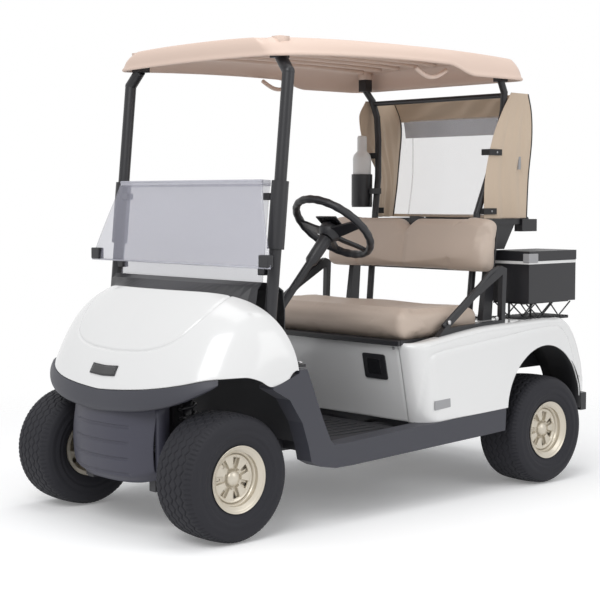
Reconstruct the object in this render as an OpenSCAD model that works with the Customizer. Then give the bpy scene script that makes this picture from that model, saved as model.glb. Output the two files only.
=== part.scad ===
// Two-seat electric golf cart with canopy, folded screen, bag cover and cooler.
// Millimetres. +X is the driver's (left) side, -Y the front, +Z up.
// The origin is on the ground under the middle of the overall box.

/* [Running gear] */
// Distance between the front and rear axles
wheelbase = 1670; // [1540:10:1900]
// Distance between the centres of the front tyres
track_f = 900; // [880:5:960]
// Distance between the centres of the rear tyres
track_r = 980; // [960:5:1040]
// Outside radius of a tyre
tyre_r = 228.6; // [222:0.5:240]
// Widest part of a tyre's section
tyre_w = 216; // [200:2:224]
// Radius of the wheel's bead seat
rim_r = 101.6; // [98:0.2:104]
// Radius of each wheel spindle
spindle_r = 14; // [12:0.5:18]
// Largest steering angle of a front wheel, in degrees
steer_max = 28; // [20:1:28]

/* [Body] */
// Rear axle to the back of the rear bumper
rear_overhang = 395; // [380:5:440]
// Width over the body sides
body_w = 1160; // [1120:10:1180]
// Thickness of the moulded body panels
wall = 5; // [4:0.5:7]
// Height of the floor's upper face
floor_z = 302; // [296:1:320]
// Height of the seat box's rim
seat_z = 636; // [610:2:660]

/* [Chassis] */
// Distance from the middle to the centre of a main rail
rail_x = 190; // [180:2:194]
// Width of a main rail
rail_w = 50; // [40:2:56]
// Height of a main rail's lower face
rail_z = 230; // [226:1:236]
// Height of a main rail's section
rail_h = 60; // [50:2:62]

/* [Canopy] */
// Height of the canopy's crown
roof_z = 1810; // [1760:5:1860]
// Width of the canopy
roof_w = 1030; // [1000:10:1120]
// Radius of a front canopy strut
strut_r = 22.5; // [18:0.5:25]
// Distance from the middle to a front strut
strut_x = 480; // [474:1:486]

/* [Seat] */
// Width of the seat cushion
seat_w = 1000; // [940:10:1020]
// Thickness of the seat cushion
cushion_h = 108; // [90:2:120]
// Radius of the steering wheel, to the middle of its rim
wheel_rad = 165; // [150:5:180]

/* [Clearances] */
// Gap between two pieces that are seated on each other
seat_gap = 0.3; // [0.2:0.1:0.6]
// Radial running clearance of a shaft in its bore
run_gap = 0.05; // [0.02:0.01:0.1]

/* [Hidden] */
$fn = 48;

// Axle positions that keep the whole box centred on the origin.
total_len = tyre_r + wheelbase + rear_overhang;
fa = -total_len / 2 + tyre_r;
ra = fa + wheelbase;
axle_z = tyre_r;
half_w = body_w / 2;
rear_y = ra + 300;

// Cowl: its rear edge, crown, and the lower edge's height from the middle to the rear corner
cowl_rear = fa + 252;
cowl_h = 869;
cowl_s = 0.975;
cowl_edge_h = [[0, 516], [0.25, 537], [0.42, 557], [0.55, 575], [0.66, 582], [0.76, 584],
               [0.84, 569], [0.9, 545], [0.95, 558], [1, 583]];
bumper_s = 0.62;
bumper_t = 40;

// ---------------------------------------------------------------- helpers
// A round bar between two points.
module rod(a, b, r) {
    along(a, b) cylinder(h = norm(b - a), r = r);
}

// Places a child whose +Z runs from a towards b.
module along(a, b) {
    d = b - a;
    translate(a) rotate([0, acos(d.z / norm(d)), atan2(d.y, d.x)]) children();
}

// Round bars through a list of points, with a ball at each inner point.
module bent_rod(pts, r) {
    for (i = [0:len(pts) - 2])
        along(pts[i], pts[i + 1]) rotate(25) cylinder(h = norm(pts[i + 1] - pts[i]), r = r);
    for (i = [1:len(pts) - 2]) translate(pts[i]) sphere(r = r * 1.03);
}

// A block given by its lowest and highest corners.
module block(lo, hi) {
    translate(lo) cube(hi - lo);
}

// The same child on the left and on the right.
module both_sides() {
    children();
    mirror([1, 0, 0]) children();
}

// Extrudes a side outline to both sides of the middle.
module across(half) {
    translate([-half, 0, 0]) rotate([90, 0, 90]) linear_extrude(2 * half) children();
}

// Closed skin between an outer and an inner grid of points, [row][column].
module panel(outer, inner) {
    nv = len(outer);
    nu = len(outer[0]);
    n = nv * nu;
    pts = concat([for (r = outer) each r], [for (r = inner) each r]);
    function o(i, j) = i * nu + j;
    function k(i, j) = n + i * nu + j;
    faces = concat(
        [for (i = [0:nv - 2], j = [0:nu - 2])
            each [[o(i, j), o(i, j + 1), o(i + 1, j + 1)], [o(i, j), o(i + 1, j + 1), o(i + 1, j)]]],
        [for (i = [0:nv - 2], j = [0:nu - 2])
            each [[k(i, j), k(i + 1, j + 1), k(i, j + 1)], [k(i, j), k(i + 1, j), k(i + 1, j + 1)]]],
        [for (j = [0:nu - 2])
            each [[o(0, j), k(0, j + 1), o(0, j + 1)], [o(0, j), k(0, j), k(0, j + 1)],
                  [o(nv - 1, j), o(nv - 1, j + 1), k(nv - 1, j + 1)],
                  [o(nv - 1, j), k(nv - 1, j + 1), k(nv - 1, j)]]],
        [for (i = [0:nv - 2])
            each [[o(i, 0), o(i + 1, 0), k(i + 1, 0)], [o(i, 0), k(i + 1, 0), k(i, 0)],
                  [o(i, nu - 1), k(i + 1, nu - 1), o(i + 1, nu - 1)],
                  [o(i, nu - 1), k(i, nu - 1), k(i + 1, nu - 1)]]]);
    polyhedron(points = pts, faces = faces, convexity = 8);
}

// Closed skin over rings of equal length, closed by a fan at each end.
module rings_skin(rings) {
    nr = len(rings);
    ns = len(rings[0]);
    n = nr * ns;
    first = [for (k = [0:2]) let (s = [for (p = rings[0]) p[k]]) s * [for (p = s) 1] / ns];
    last = [for (k = [0:2]) let (s = [for (p = rings[nr - 1]) p[k]]) s * [for (p = s) 1] / ns];
    faces = concat(
        [for (i = [0:nr - 2], j = [0:ns - 1]) let (m = (j + 1) % ns)
            each [[i * ns + j, i * ns + m, (i + 1) * ns + m],
                  [i * ns + j, (i + 1) * ns + m, (i + 1) * ns + j]]],
        [for (j = [0:ns - 1]) [n, (j + 1) % ns, j]],
        [for (j = [0:ns - 1]) [n + 1, (nr - 1) * ns + j, (nr - 1) * ns + (j + 1) % ns]]);
    polyhedron(points = concat([for (r = rings) each r], [first, last]), faces = faces, convexity = 8);
}

// A pad with rounded edges, given by its lowest and highest corners.
module pad(lo, hi, r) {
    hull()
        for (x = [lo.x + r, hi.x - r], y = [lo.y + r, hi.y - r], z = [lo.z + r, hi.z - r])
            translate([x, y, z]) sphere(r = r, $fn = 20);
}

function lerp(a, b, t) = a + (b - a) * t;
function bez(a, b, c, t) = a * (1 - t) * (1 - t) + 2 * b * t * (1 - t) + c * t * t;
function unit(v) = v / norm(v);

// ---------------------------------------------------------------- frame
rail_top = rail_z + rail_h;
rail_out = rail_x + rail_w / 2;
frame_f = fa - 150;
frame_r = rear_y - wall - 10;
kick_up_y = ra - 290;
rear_rail_z = rail_top + 40;
horn_y = bumper_back(rail_x + 15) + seat_gap;
rack_y = fa + 150;
rack_z = rail_z - 20;
up_spread = 140;
tower_z = 572;
arm_z = 150;
arm_h = 25;
up_arm_z = 300;
up_arm_h = 18;
king_x = track_f / 2 - 120;
shock_x = king_x - 55;
shock_top = [shock_x - 22, fa, tower_z - 20];

module frame() {
    color("dimgray") {
        both_sides() {
            block([rail_x - rail_w / 2, frame_f, rail_z], [rail_out, kick_up_y, rail_top]);
            // The rails step up over the rear axle
            block([rail_x - rail_w / 2, kick_up_y - 50, rail_z], [rail_out, kick_up_y, rear_rail_z + rail_h]);
            block([rail_x - rail_w / 2, kick_up_y - 50, rear_rail_z], [rail_out, frame_r, rear_rail_z + rail_h]);
            // Drop bracket for the lower arm
            block([rail_x - 12, fa - 115, arm_z], [rail_out, fa + 115, rail_z + 1]);
            // Tower for the coil-over and the upper arm
            block([rail_x - 15, fa - 34, rail_top - 1], [rail_out, fa + 34, tower_z]);
            block([rail_out - 1, fa - 34, tower_z - 20 + seat_gap], [shock_x + 20, fa + 34, tower_z]);
            block([rail_out - 20, fa - up_spread - 14, rail_top - 1],
                  [rail_out, fa + up_spread + 14, up_arm_z + up_arm_h]);
            // Horn that carries the bumper
            block([rail_x - 15, frame_f, rail_top - 1], [rail_x + 15, frame_f + 30, 500]);
            block([rail_x - 15, horn_y, 462], [rail_x + 15, frame_f + 1, 500]);
            // Outriggers that carry the sills
            for (y = [fa + 500, ra - 560])
                block([rail_out - 1, y, rail_z + 10], [sill_in - seat_gap, y + 40, rail_top]);
            // Hangers of the leaf spring
            block([rail_x - 20, ra - 328, spring_z + 12], [rail_x + 20, kick_up_y, rail_z + 1]);
            block([rail_x - 20, ra + 215, spring_z + 12], [rail_x + 20, ra + 255, rear_rail_z + 1]);
            // Bumper bracket
            block([rail_x - 20, frame_r - 40, 285], [rail_x + 20, rear_y, rear_rail_z + 1]);
        }
        for (y = [frame_f, fa + 125, fa + 520, ra - 540])
            block([-rail_x - 1, y, rail_z + 2], [rail_x + 1, y + 50, rail_top - 2]);
        for (y = [kick_up_y - 45, frame_r - 42])
            block([-rail_x - 1, y, rear_rail_z + 2], [rail_x + 1, y + 40, rear_rail_z + rail_h - 2]);
    }
}

module arm_legs(z, h, spread, eye_r, bore_r) {
    difference() {
        union() {
            for (s = [-1, 1])
                rod([rail_out + seat_gap + 11, fa + s * spread, z + h / 2], [king_x, fa, z + h / 2], 9);
            translate([rail_out + seat_gap, fa - spread - 14, z + 2])
                cube([20, spread * 2 + 28, h - 4]);
            translate([king_x, fa, z]) cylinder(h = h, r = eye_r);
        }
        translate([king_x, fa, z - 1]) cylinder(h = h + 2, r = bore_r);
    }
}

module front_arms() {
    color("black") both_sides() {
        arm_legs(arm_z, arm_h, 95, 20, pin_r + run_gap);
        // Spring seat of the coil-over
        difference() {
            translate([shock_x - 30, fa - 30, arm_z + 4]) cube([60, 60, arm_h - 4]);
            translate([king_x, fa, arm_z - 1]) cylinder(h = arm_h + 2, r = 12);
        }
        arm_legs(up_arm_z, up_arm_h, up_spread, 18, pin_r + run_gap);
    }
}

module front_shocks() {
    base = [shock_x, fa, arm_z + arm_h + seat_gap + 1];
    top = shock_top - [0, 0, 1];
    len = norm(top - base);
    coils = 9;
    pitch = (len - 90) / coils;
    color("black") both_sides() along(base, top) rotate_extrude() polygon(concat(
        [[0, 0], [16, 0], [16, 26], [31, 28], [31, 36]],
        [for (i = [0:coils - 1]) each [[24, 40 + i * pitch], [30, 44 + i * pitch],
            [30, 34 + (i + 1) * pitch], [24, 38 + (i + 1) * pitch]]],
        [[31, len - 44], [31, len - 34], [12, len - 30], [12, len], [0, len]]));
}

module rack_housing() {
    color("silver") difference() {
        union() {
            translate([-105, rack_y, rack_z]) rotate([0, 90, 0]) cylinder(h = 210, r = 16);
            // Ears that hang from the cross member
            for (s = [-1, 1])
                block([s * 80 - 12, rack_y - 14, rack_z], [s * 80 + 12, rack_y + 14, rail_z + 2 - seat_gap]);
        }
        translate([-106, rack_y, rack_z]) rotate([0, 90, 0]) cylinder(h = 212, r = rack_r + run_gap);
    }
}

// ---------------------------------------------------------------- rear running gear
spring_z = axle_z - 60;

module rear_axle() {
    color("gray") {
        both_sides() {
            translate([0, ra, axle_z]) rotate([0, 90, 0]) cylinder(h = track_r / 2 - 60, r = 36);
            translate([track_r / 2 - 62, ra, axle_z]) rotate([0, 90, 0])
                cylinder(h = 62 + 34, r = spindle_r);
            block([rail_x - 24, ra - 40, axle_z - 48], [rail_x + 24, ra + 40, axle_z]);
        }
        translate([30, ra, axle_z]) rotate([0, 90, 0]) cylinder(h = 90, r = 92);
        // Drive motor
        translate([-100, ra + 150, axle_z + 12]) rotate([0, 90, 0]) cylinder(h = 245, r = 80);
        block([100, ra, axle_z - 60], [120, ra + 150, axle_z + 70]);
    }
}

module rear_springs() {
    color("black") both_sides() {
        for (i = [0:2])
            block([rail_x - 22, ra - 308 + i * 70, axle_z - 56 - i * 8],
                  [rail_x + 22, ra + 235 - i * 70, axle_z - 48.3 - i * 8]);
        for (y = [ra - 308, ra + 235])
            translate([rail_x - 22, y, spring_z]) rotate([0, 90, 0]) cylinder(h = 44, r = 11.7);
    }
}

module rear_shocks() {
    color("black") both_sides() {
        a = [rail_x + 52, ra - 62, axle_z + 20];
        b = [rail_x + 52, ra - 130, rail_top + 190];
        rod(a, a + (b - a) * 0.55, 22);
        rod(a + (b - a) * 0.5, b, 15);
        // Lower clevis to the axle tube and upper pin to the body mount
        rod(a, [rail_x + 52, ra - 38.2, axle_z + 6], 8);
    }
}

module battery_pack() {
    color("darkslategray")
        block([-360, ra - 660, rail_top + seat_gap], [360, ra - 350, rail_top + 260]);
}

// ---------------------------------------------------------------- floor and sills
floor_f = fa + 430;
kick_y = ra - 745;
sill_in = half_w - 78;
leg_top = 596;
sill_low = 220;

// Height of the sill's top at y, which rises to the rear.
function sill_top(y) = 325 + 0.0403 * (y - ra + 798);

// Driver's side of the toe board at height z, and its normal.
function board_y(z) = floor_f + 6 - 205 * (z - floor_z) / 288;
board_n = unit([0, 288, 205]);

module floor_pan() {
    color("#2c2d33") {
        block([-sill_in + seat_gap, floor_f, rail_top + seat_gap],
              [sill_in - seat_gap, kick_y - 6, floor_z]);
        for (x = [-400:50:400])
            block([x - 12, floor_f + 40, floor_z - 1], [x + 12, kick_y - 70, floor_z + 3]);
        // Toe board
        translate([-sill_in + seat_gap, floor_f, rail_top + seat_gap])
            rotate([90, 0, 90])
                linear_extrude(2 * (sill_in - seat_gap))
                    polygon([[0, 0], [-206, 297], [-199, 300], [6, floor_z - rail_top - seat_gap]]);
    }
}

// Outline of a sill from the side: rocker, and the leg up to the cowl.
module sill_outline() {
    polygon([[fa + 313, 257], [fa + 359, 234], [fa + 432, sill_low], [fa + 516, sill_low],
             [ra - 456, 247], [ra - 274, 255], [ra - 268, sill_top(ra - 268)],
             [kick_y - 53, sill_top(kick_y - 53)], [fa + 470, 306], [fa + 426, 308], [fa + 409, 325],
             [fa + 369, 409], [fa + 328, 510], [fa + 293, leg_top], [fa + 258, leg_top],
             [fa + 252, 582], [fa + 179, 557], [fa + 132, 544], [fa + 130, 535], [fa + 208, 492],
             [fa + 268, 404], [fa + 298, 319]]);
}

module sills() {
    color("#33343a") both_sides() {
        translate([sill_in, 0, 0]) rotate([90, 0, 90]) linear_extrude(half_w - sill_in) sill_outline();
    }
}

// ---------------------------------------------------------------- front cowl
// Point of the lower edge; s runs round from the right rear corner (-1) to the left one (1).
function cowl_edge(s) =
    let (a = 90 * abs(s))
    [sign(s) * half_w * pow(sin(a), 0.79), cowl_rear - 467 * pow(cos(a), 0.73),
     lookup(abs(s), cowl_edge_h)];
// Point of the rear edge, against the scuttle and the struts.
function cowl_back(s) =
    let (c = pow(sin(90 * abs(s)), 0.94))
    [sign(s) * half_w * c, lerp(fa + 40, cowl_rear, pow(c, 2.5)),
     583 + (cowl_h - 583) * pow(max(0, 1 - pow(c, 6)), 0.6)];
// Point of the cowl's outer face; t runs from the lower edge to the rear edge.
function cowl_pt(s, t) =
    let (w = pow(sin(90 * abs(s)), 2),
         b = cowl_edge(s),
         d = cowl_back(s) - b,
         m = b + [d.x * lerp(0.3, 0.485, w), d.y * lerp(0.3, 0.485, w), d.z * lerp(0.51, 1.25, w)])
    bez(b, m, b + d, t);
// The same point moved inwards by g.
function cowl_in(u, v, g) =
    let (d = 0.004,
         u0 = max(-cowl_s, u - d), u1 = min(cowl_s, u + d), v0 = max(0, v - d), v1 = min(1, v + d),
         n = unit(cross(cowl_pt(u1, v) - cowl_pt(u0, v), cowl_pt(u, v1) - cowl_pt(u, v0))))
    cowl_pt(u, v) - n * g;

module front_cowl() {
    nu = 40;
    nv = 14;
    us = [for (j = [0:nu]) cowl_s * (-1 + 2 * j / nu)];
    vs = [for (i = [0:nv]) i / nv];
    color("white") difference() {
        panel([for (v = vs) [for (u = us) cowl_pt(u, v)]],
              [for (v = vs) [for (u = us) cowl_in(u, v, wall)]]);
        both_sides() rod(strut_foot, strut_top, strut_r + 5);
    }
}

// Section of the bumper band round its plan; s is the cowl's own station.
function bumper_out(s) = 10 + 12 * pow(abs(s) / bumper_s, 2);
function bumper_top(s) = lookup(abs(s), cowl_edge_h) - 3;
function bumper_low(s) =
    bumper_top(s) - 4 - 74 * pow(max(0, 1 - pow(abs(s) / (bumper_s + 0.02), 3)), 0.7);
function edge_dir(s) = let (d = cowl_edge(s + 0.004) - cowl_edge(s - 0.004)) unit([d.x, d.y]);
function bumper_pt(s, out, z) =
    let (e = cowl_edge(s), t = edge_dir(s))
    [e.x + t.y * out, e.y - t.x * out, z];
// Station at a distance x from the middle, and the band's rear face there.
function edge_s(x) = asin(pow(x / half_w, 1 / 0.79)) / 90;
function bumper_back(x, s = 0.2, n = 4) =
    n == 0 ? bumper_pt(s, 10 - bumper_t, 0).y
           : bumper_back(x, edge_s(x + edge_dir(s).y * (bumper_t - 10)), n - 1);

module front_bumper() {
    ss = [for (j = [0:32]) bumper_s * (-1 + j / 16)];
    ts = [0, 0.25, 0.5, 0.75, 1];
    color("#3a3b41") panel(
        [for (t = ts) [for (s = ss)
            bumper_pt(s, bumper_out(s) - 9 * pow(2 * t - 1, 2), lerp(bumper_low(s), bumper_top(s), t))]],
        [for (t = ts) [for (s = ss) bumper_pt(s, 10 - bumper_t, lerp(bumper_low(s), bumper_top(s), t))]]);
}

apron_w = 255;
apron_low = 180;
function apron_top(x) = bumper_low(edge_s(abs(x))) - seat_gap;
function apron_y(x, z) = fa - 209 + 70 * pow(abs(x) / apron_w, 2.4) - 14 * sin((z - apron_low) / 1.4);

module front_apron() {
    xs = [for (j = [0:20]) apron_w * (-1 + j / 10)];
    function pt(x, t, g) = let (z = lerp(apron_low, apron_top(x), t)) [x, apron_y(x, z) + g, z];
    color("#3f4046") {
        panel([for (i = [0:8]) [for (x = xs) pt(x, i / 8, 0)]],
              [for (i = [0:8]) [for (x = xs) pt(x, i / 8, wall)]]);
        both_sides() {
            side = [[apron_w - 1, fa - 136], [apron_w + 3, fa - 129], [apron_w + 4, fa - 122]];
            zz = [apron_low + 12, apron_top(apron_w)];
            panel([for (z = zz) [for (p = side) [p[0], p[1], z]]],
                  [for (z = zz) [for (p = side) [p[0] - wall, p[1] + 2, z]]]);
        }
    }
}

// ---------------------------------------------------------------- dash and steering
dash_w = strut_x - strut_r - 6;

dash_u = asin(pow(dash_w / half_w, 1 / 0.94)) / 90;

module dash() {
    nu = 24;
    us = [for (j = [0:nu]) dash_u * (-1 + 2 * j / nu)];
    function edge(u) = cowl_pt(u, 1);
    rows = [for (u = us) let (e = edge(u), x = e.x)
        [[x, e.y + 7, e.z], [x, lerp(e.y + 7, fa + 175, 0.6), lerp(e.z, 908, 0.7)],
         [x, fa + 190, 906], [x, fa + 250, 900], [x, fa + 292, 872],
         [x, fa + 300, 800], [x, fa + 300, 716]]];
    color("#1d1e22") panel(
        [for (i = [0:6]) [for (r = rows) r[i]]],
        [for (i = [0:6]) [for (r = rows)
            r[i] + [[0, -1, -wall], [0, 0, -wall], [0, 0, -wall], [0, -1, -wall], [0, -wall, -2],
                    [0, -wall, 0], [0, -wall, 0]][i]]]);
}

col_x = 280;
col_dir = unit([0, 157, 178]);
hub_at = [col_x, fa + 704, 1094];
col_top = hub_at - col_dir * 62;
col_low = [col_x, fa + 204, 545];

module steering_column() {
    color("#1d1e22") difference() {
        union() {
            rod(col_low, col_top, 24);
            rod(col_top - col_dir * 140, col_top, 34);
            // Bracket to the dash
            block([col_x - 20, fa + 300 + seat_gap, 738], [col_x + 20, fa + 400, 764]);
        }
        rod(col_top - col_dir * 130, col_top + col_dir, shaft_r + run_gap);
        // The foot is cut to the toe board
        translate([col_x - 60, 0, 0]) rotate([90, 0, 90]) linear_extrude(120)
            polygon([[board_y(440) + 0.4, 440], [board_y(680) + 0.4, 680], [fa, 680], [fa, 440]]);
    }
}

module steering_wheel() {
    spoke_r = wheel_rad - 8;
    color("#1d1e22") translate(hub_at)
        rotate([-acos(col_dir.z), 0, 0]) {
            rotate_extrude($fn = 64) translate([wheel_rad, 0]) circle(r = 13, $fn = 24);
            translate([0, 0, -34]) cylinder(h = 30, r = 42);
            translate([0, 0, -56]) cylinder(h = 30, r = 28);
            translate([0, 0, -180]) cylinder(h = 130, r = shaft_r);
            for (a = [0, 180, 270])
                rotate([0, 0, a]) rod([20, 0, -20], [spoke_r, 0, -1], 8);
            // Card clip
            translate([-55, -26, -6]) cube([110, 72, 12]);
        }
}

module pedals() {
    color("#1d1e22")
        for (x = [col_x - 20, col_x - 140]) {
            foot = [x, board_y(430), 430];
            rod(foot + board_n * seat_gap, foot + board_n * 52, 9);
            translate(foot + board_n * 50) rotate([-acos(board_n.z), 0, 0])
                translate([-42, -45, 0]) cube([84, 90, 10]);
        }
}

rack_r = 10;
pin_r = 8;
shaft_r = 10;

module steering_rack() {
    color("silver") {
        translate([0, rack_y, rack_z]) rotate([0, 90, 0]) rotate_extrude()
            polygon([[0, 34 - king_x], [8, 34 - king_x], [8, -185], [rack_r, -183], [rack_r, 183],
                     [8, 185], [8, king_x - 34], [0, king_x - 34]]);
        both_sides()
            translate([king_x - 30, rack_y, rack_z - 8.5]) cylinder(h = 17, r = 14);
    }
}

// Steering knuckle of the left wheel: kingpin, spindle and steering arm.
module knuckle() {
    post_low = arm_z + arm_h + seat_gap;
    post_top = up_arm_z - seat_gap;
    color("dimgray") {
        translate([king_x, fa, post_low]) cylinder(h = post_top - post_low, r = 18);
        translate([king_x, fa, arm_z - 2]) cylinder(h = post_low - arm_z + 3, r = pin_r);
        translate([king_x, fa, post_top - 1]) cylinder(h = up_arm_h + 3, r = pin_r);
        translate([king_x, fa, axle_z]) rotate([0, 90, 0]) cylinder(h = 60, r = 24);
        translate([king_x + 59, fa, axle_z]) rotate([0, 90, 0]) cylinder(h = 120 - 59 + 34, r = spindle_r);
        rod([king_x, fa, rack_z - 12], [king_x - 30, rack_y, rack_z - 21], 8);
        translate([king_x - 30, rack_y, rack_z - 28]) cylinder(h = 13, r = 14);
    }
}

// ---------------------------------------------------------------- wheels
hub_in = 56;
hub_out = 36;

// Half section of the tyre as [radius, offset]; the tread side is the largest radius.
function tyre_half(w, r) = [
    [rim_r + 0.6, w - 48], [rim_r + 0.6, w - 24], [rim_r + 11, w - 24], [rim_r + 14.5, w - 17],
    [rim_r + 20, w - 14], [rim_r + 38, w - 5], [rim_r + 62, w], [r - 34, w - 2],
    [r - 17, w - 9], [r - 6, w - 20], [r - 1.5, w - 38], [r, 0]];
function tyre_inside(w, r) = [
    [r - 16, 0], [r - 17, w - 40], [r - 30, w - 17], [rim_r + 60, w - 11],
    [rim_r + 34, w - 17], [rim_r + 12, w - 34], [rim_r + 8, w - 48]];

// Tyre whose axis is X, centred on the origin.
module tyre() {
    w = tyre_w / 2;
    a = tyre_half(w, tyre_r);
    b = tyre_inside(w, tyre_r);
    // The other half runs back along the inside and out again
    mirrored = concat(
        [for (i = [len(a) - 2:-1:0]) [a[i][0], -a[i][1]]],
        [for (i = [len(b) - 1:-1:1]) [b[i][0], -b[i][1]]]);
    color("#2b2b2f") rotate([0, 90, 0]) rotate_extrude($fn = 96)
        polygon(concat(a, mirrored, b));
}

// Wheel rim with its axis along X; the outer face looks to +X.
module rim() {
    w = tyre_w / 2;
    color("#cdbf9a") rotate([0, 90, 0]) difference() {
        rotate_extrude($fn = 96) polygon([
            [rim_r, 24 - w], [rim_r, w - 23.5], [rim_r + 10, w - 23.5], [rim_r + 10, w - 18], [rim_r + 17, w - 13.5],
            [rim_r + 17, w - 11], [rim_r + 6, w - 15], [rim_r - 5, w - 23], [rim_r - 6, 40],
            [rim_r - 40, 46], [40, 52], [40, hub_out + 12], [0, hub_out + 12], [0, hub_out],
            [spindle_r + run_gap, hub_out], [spindle_r + run_gap, -hub_in], [34, -hub_in], [34, 34],
            [rim_r - 12, 32], [rim_r - 6, 24], [rim_r - 5, 22 - w], [rim_r + 10, 18 - w],
            [rim_r + 10, 23.5 - w], [rim_r, 23.5 - w]]);
        for (k = [0:6])
            rotate([0, 0, k * 360 / 7]) translate([70, 0, 20]) cylinder(h = 50, r = 11);
    }
}

module wheel_at(x, y) {
    translate([x, y, axle_z]) children();
}

// ---------------------------------------------------------------- rear body
deck_z = 684;
arch_r = 253;
arch_y = ra - 10;
arch_z = 335;
seat_hinge_y = ra - 318;

// Height of the deck's outer face: it rises from the seat box and levels off over the wheels.
deck_h = [[ra - 800, 638], [ra - 650, 655], [ra - 500, 672], [ra - 380, 682], [ra - 200, 688],
          [ra, 692], [ra + 64, 692], [ra + 126, 688]];
function deck_top(y) = lookup(y, deck_h);

// Side outline of the rear body, inset by t.
module body_outline(t) {
    // The inner outline runs out through the open bottom
    low = t > 0 ? 250 : 0;
    function foot(y) = low > 0 ? low : sill_top(y) + seat_gap;
    polygon(concat(
        [[ra - 735 + t, foot(ra - 735)]], [for (p = deck_h) [p[0] + (p[0] < ra - 700 ? t : 0), p[1] - t]],
        [[ra + 175 - t, 656 - t], [ra + 219 - t, 593], [ra + 249 - t, 521], [ra + 279 - t, 440],
         [rear_y - t, 372], [rear_y - t, foot(rear_y)]]));
}

// Plan outline of the rear body, inset by t.
module body_plan(t) {
    y0 = ra - 800;
    r = 92;
    q = 55;
    hull() {
        for (s = [-1, 1]) {
            translate([s * (half_w - 12 - r), y0 + r]) circle(r = r - t, $fn = 40);
            translate([s * (half_w - r), ra - 200]) circle(r = r - t, $fn = 40);
            translate([s * (half_w - 22 - q), rear_y - q]) circle(r = q - t, $fn = 32);
        }
    }
}

module body_solid(t) {
    intersection() {
        across(half_w) body_outline(t);
        translate([0, 0, 250]) linear_extrude(500) body_plan(t);
    }
}

well_x = 366;
well_f = ra - 40;

module rear_body() {
    color("white") difference() {
        body_solid(0);
        body_solid(wall);
        // Seat well
        block([-seat_w / 2 - 12, ra - 840, seat_z], [seat_w / 2 + 12, seat_hinge_y + 44, 760]);
        // Battery bay opening under the seat
        block([-440, ra - 720, seat_z - 60], [440, seat_hinge_y - 60, 760]);
        // Bag well, open to the rear
        block([-well_x, well_f, 430], [well_x, rear_y + 40, 760]);
        // Rear wheel arches, upright below their half circle
        across(half_w + 1)
            polygon(concat([for (a = [0:6:180]) [arch_y + arch_r * cos(a), arch_z + arch_r * sin(a)]],
                           [[arch_y - arch_r - 4, 200], [arch_y + arch_r + 4, 200]]));
        // Charger socket
        block([330 - 60, ra - 810, 488], [330 + 60, ra - 740, 588]);
    }
    // Hinge lugs of the seat, with their pins
    y = seat_hinge_y;
    z = seat_z + 12;
    color("white") for (x = [-300, 300]) {
        for (e = [x - 34, x + 22])
            translate([e, 0, 0]) rotate([90, 0, 90]) linear_extrude(12)
                polygon([[y - 8, z - 9], [y + 54, z - 9], [y + 54, deck_top(y + 54) - 1],
                         [y + 45, deck_top(y + 45) - 1], [y + 40, z + 12], [y + 30, z + 10],
                         [y - 8, z + 10]]);
        translate([x - 33, y, z]) rotate([0, 90, 0]) cylinder(h = 66, r = 5);
    }
}

module bag_well() {
    t = 4;
    z0 = 470;
    x1 = well_x - seat_gap;
    color("#222328") difference() {
        intersection() {
            block([-x1, well_f + seat_gap, z0 - t], [x1, rear_y, deck_z - 4]);
            across(x1) body_outline(0);
        }
        block([-x1 + t, well_f + seat_gap + t, z0], [x1 - t, rear_y + 1, deck_z]);
    }
}

// Rear face of the bumper at a distance x from the middle.
function rear_bumper_y(x) = ra + rear_overhang - 57 * pow(abs(x) / 530, 4);

module rear_bumper() {
    xs = [for (i = [-12:12]) 530 * i / 12];
    color("#26272c") translate([0, 0, 277]) linear_extrude(76)
        polygon(concat([for (x = xs) [x, rear_bumper_y(x)]],
                       [[530, rear_y + seat_gap], [-530, rear_y + seat_gap]]));
}

// ---------------------------------------------------------------- seat
back_low = 902;
back_top = 1132;
back_y = ra - 292;
back_tilt = 8;
back_t = 80;
back_w = seat_w - 48;
post_x = 400;

module seat_base() {
    color("#1d1e22") {
        block([-seat_w / 2 + 4, ra - 808, seat_z + seat_gap], [seat_w / 2 - 4, seat_hinge_y - 16, seat_z + 18]);
        // Hinge knuckles
        for (x = [-300, 300])
            difference() {
                union() {
                    translate([x - 20, seat_hinge_y, seat_z + 12]) rotate([0, 90, 0]) cylinder(h = 40, r = 10);
                    block([x - 20, seat_hinge_y - 20, seat_z + 4], [x + 20, seat_hinge_y, seat_z + 16]);
                }
                translate([x - 21, seat_hinge_y, seat_z + 12]) rotate([0, 90, 0])
                    cylinder(h = 42, r = 5 + run_gap);
            }
    }
}

module seat_cushion() {
    color("#c9b89c")
        pad([-seat_w / 2, ra - 818, seat_z + 18 + seat_gap],
            [seat_w / 2, seat_hinge_y - 14, seat_z + 18 + cushion_h], 34);
}

// Places a child in the seat back's own frame: y forward face, z up the back.
module back_frame() {
    translate([0, back_y, back_low]) rotate([-back_tilt, 0, 0]) children();
}

back_len = (back_top - back_low) / cos(back_tilt);

module seat_back() {
    color("#c9b89c") back_frame() difference() {
        pad([-back_w / 2, 0, 0], [back_w / 2, back_t, back_len], 34);
        translate([0, -10, back_len + 24]) rotate([-90, 0, 0]) cylinder(h = 140, r = 60, $fn = 32);
    }
}

module seat_back_shell() {
    color("#1d1e22") back_frame() {
        translate([-back_w / 2 + 24, back_t + seat_gap, 8]) cube([back_w - 48, 10, back_len - 60]);
        both_sides() translate([70, back_t + 9, 40]) cube([200, 12, 110]);
    }
}

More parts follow.
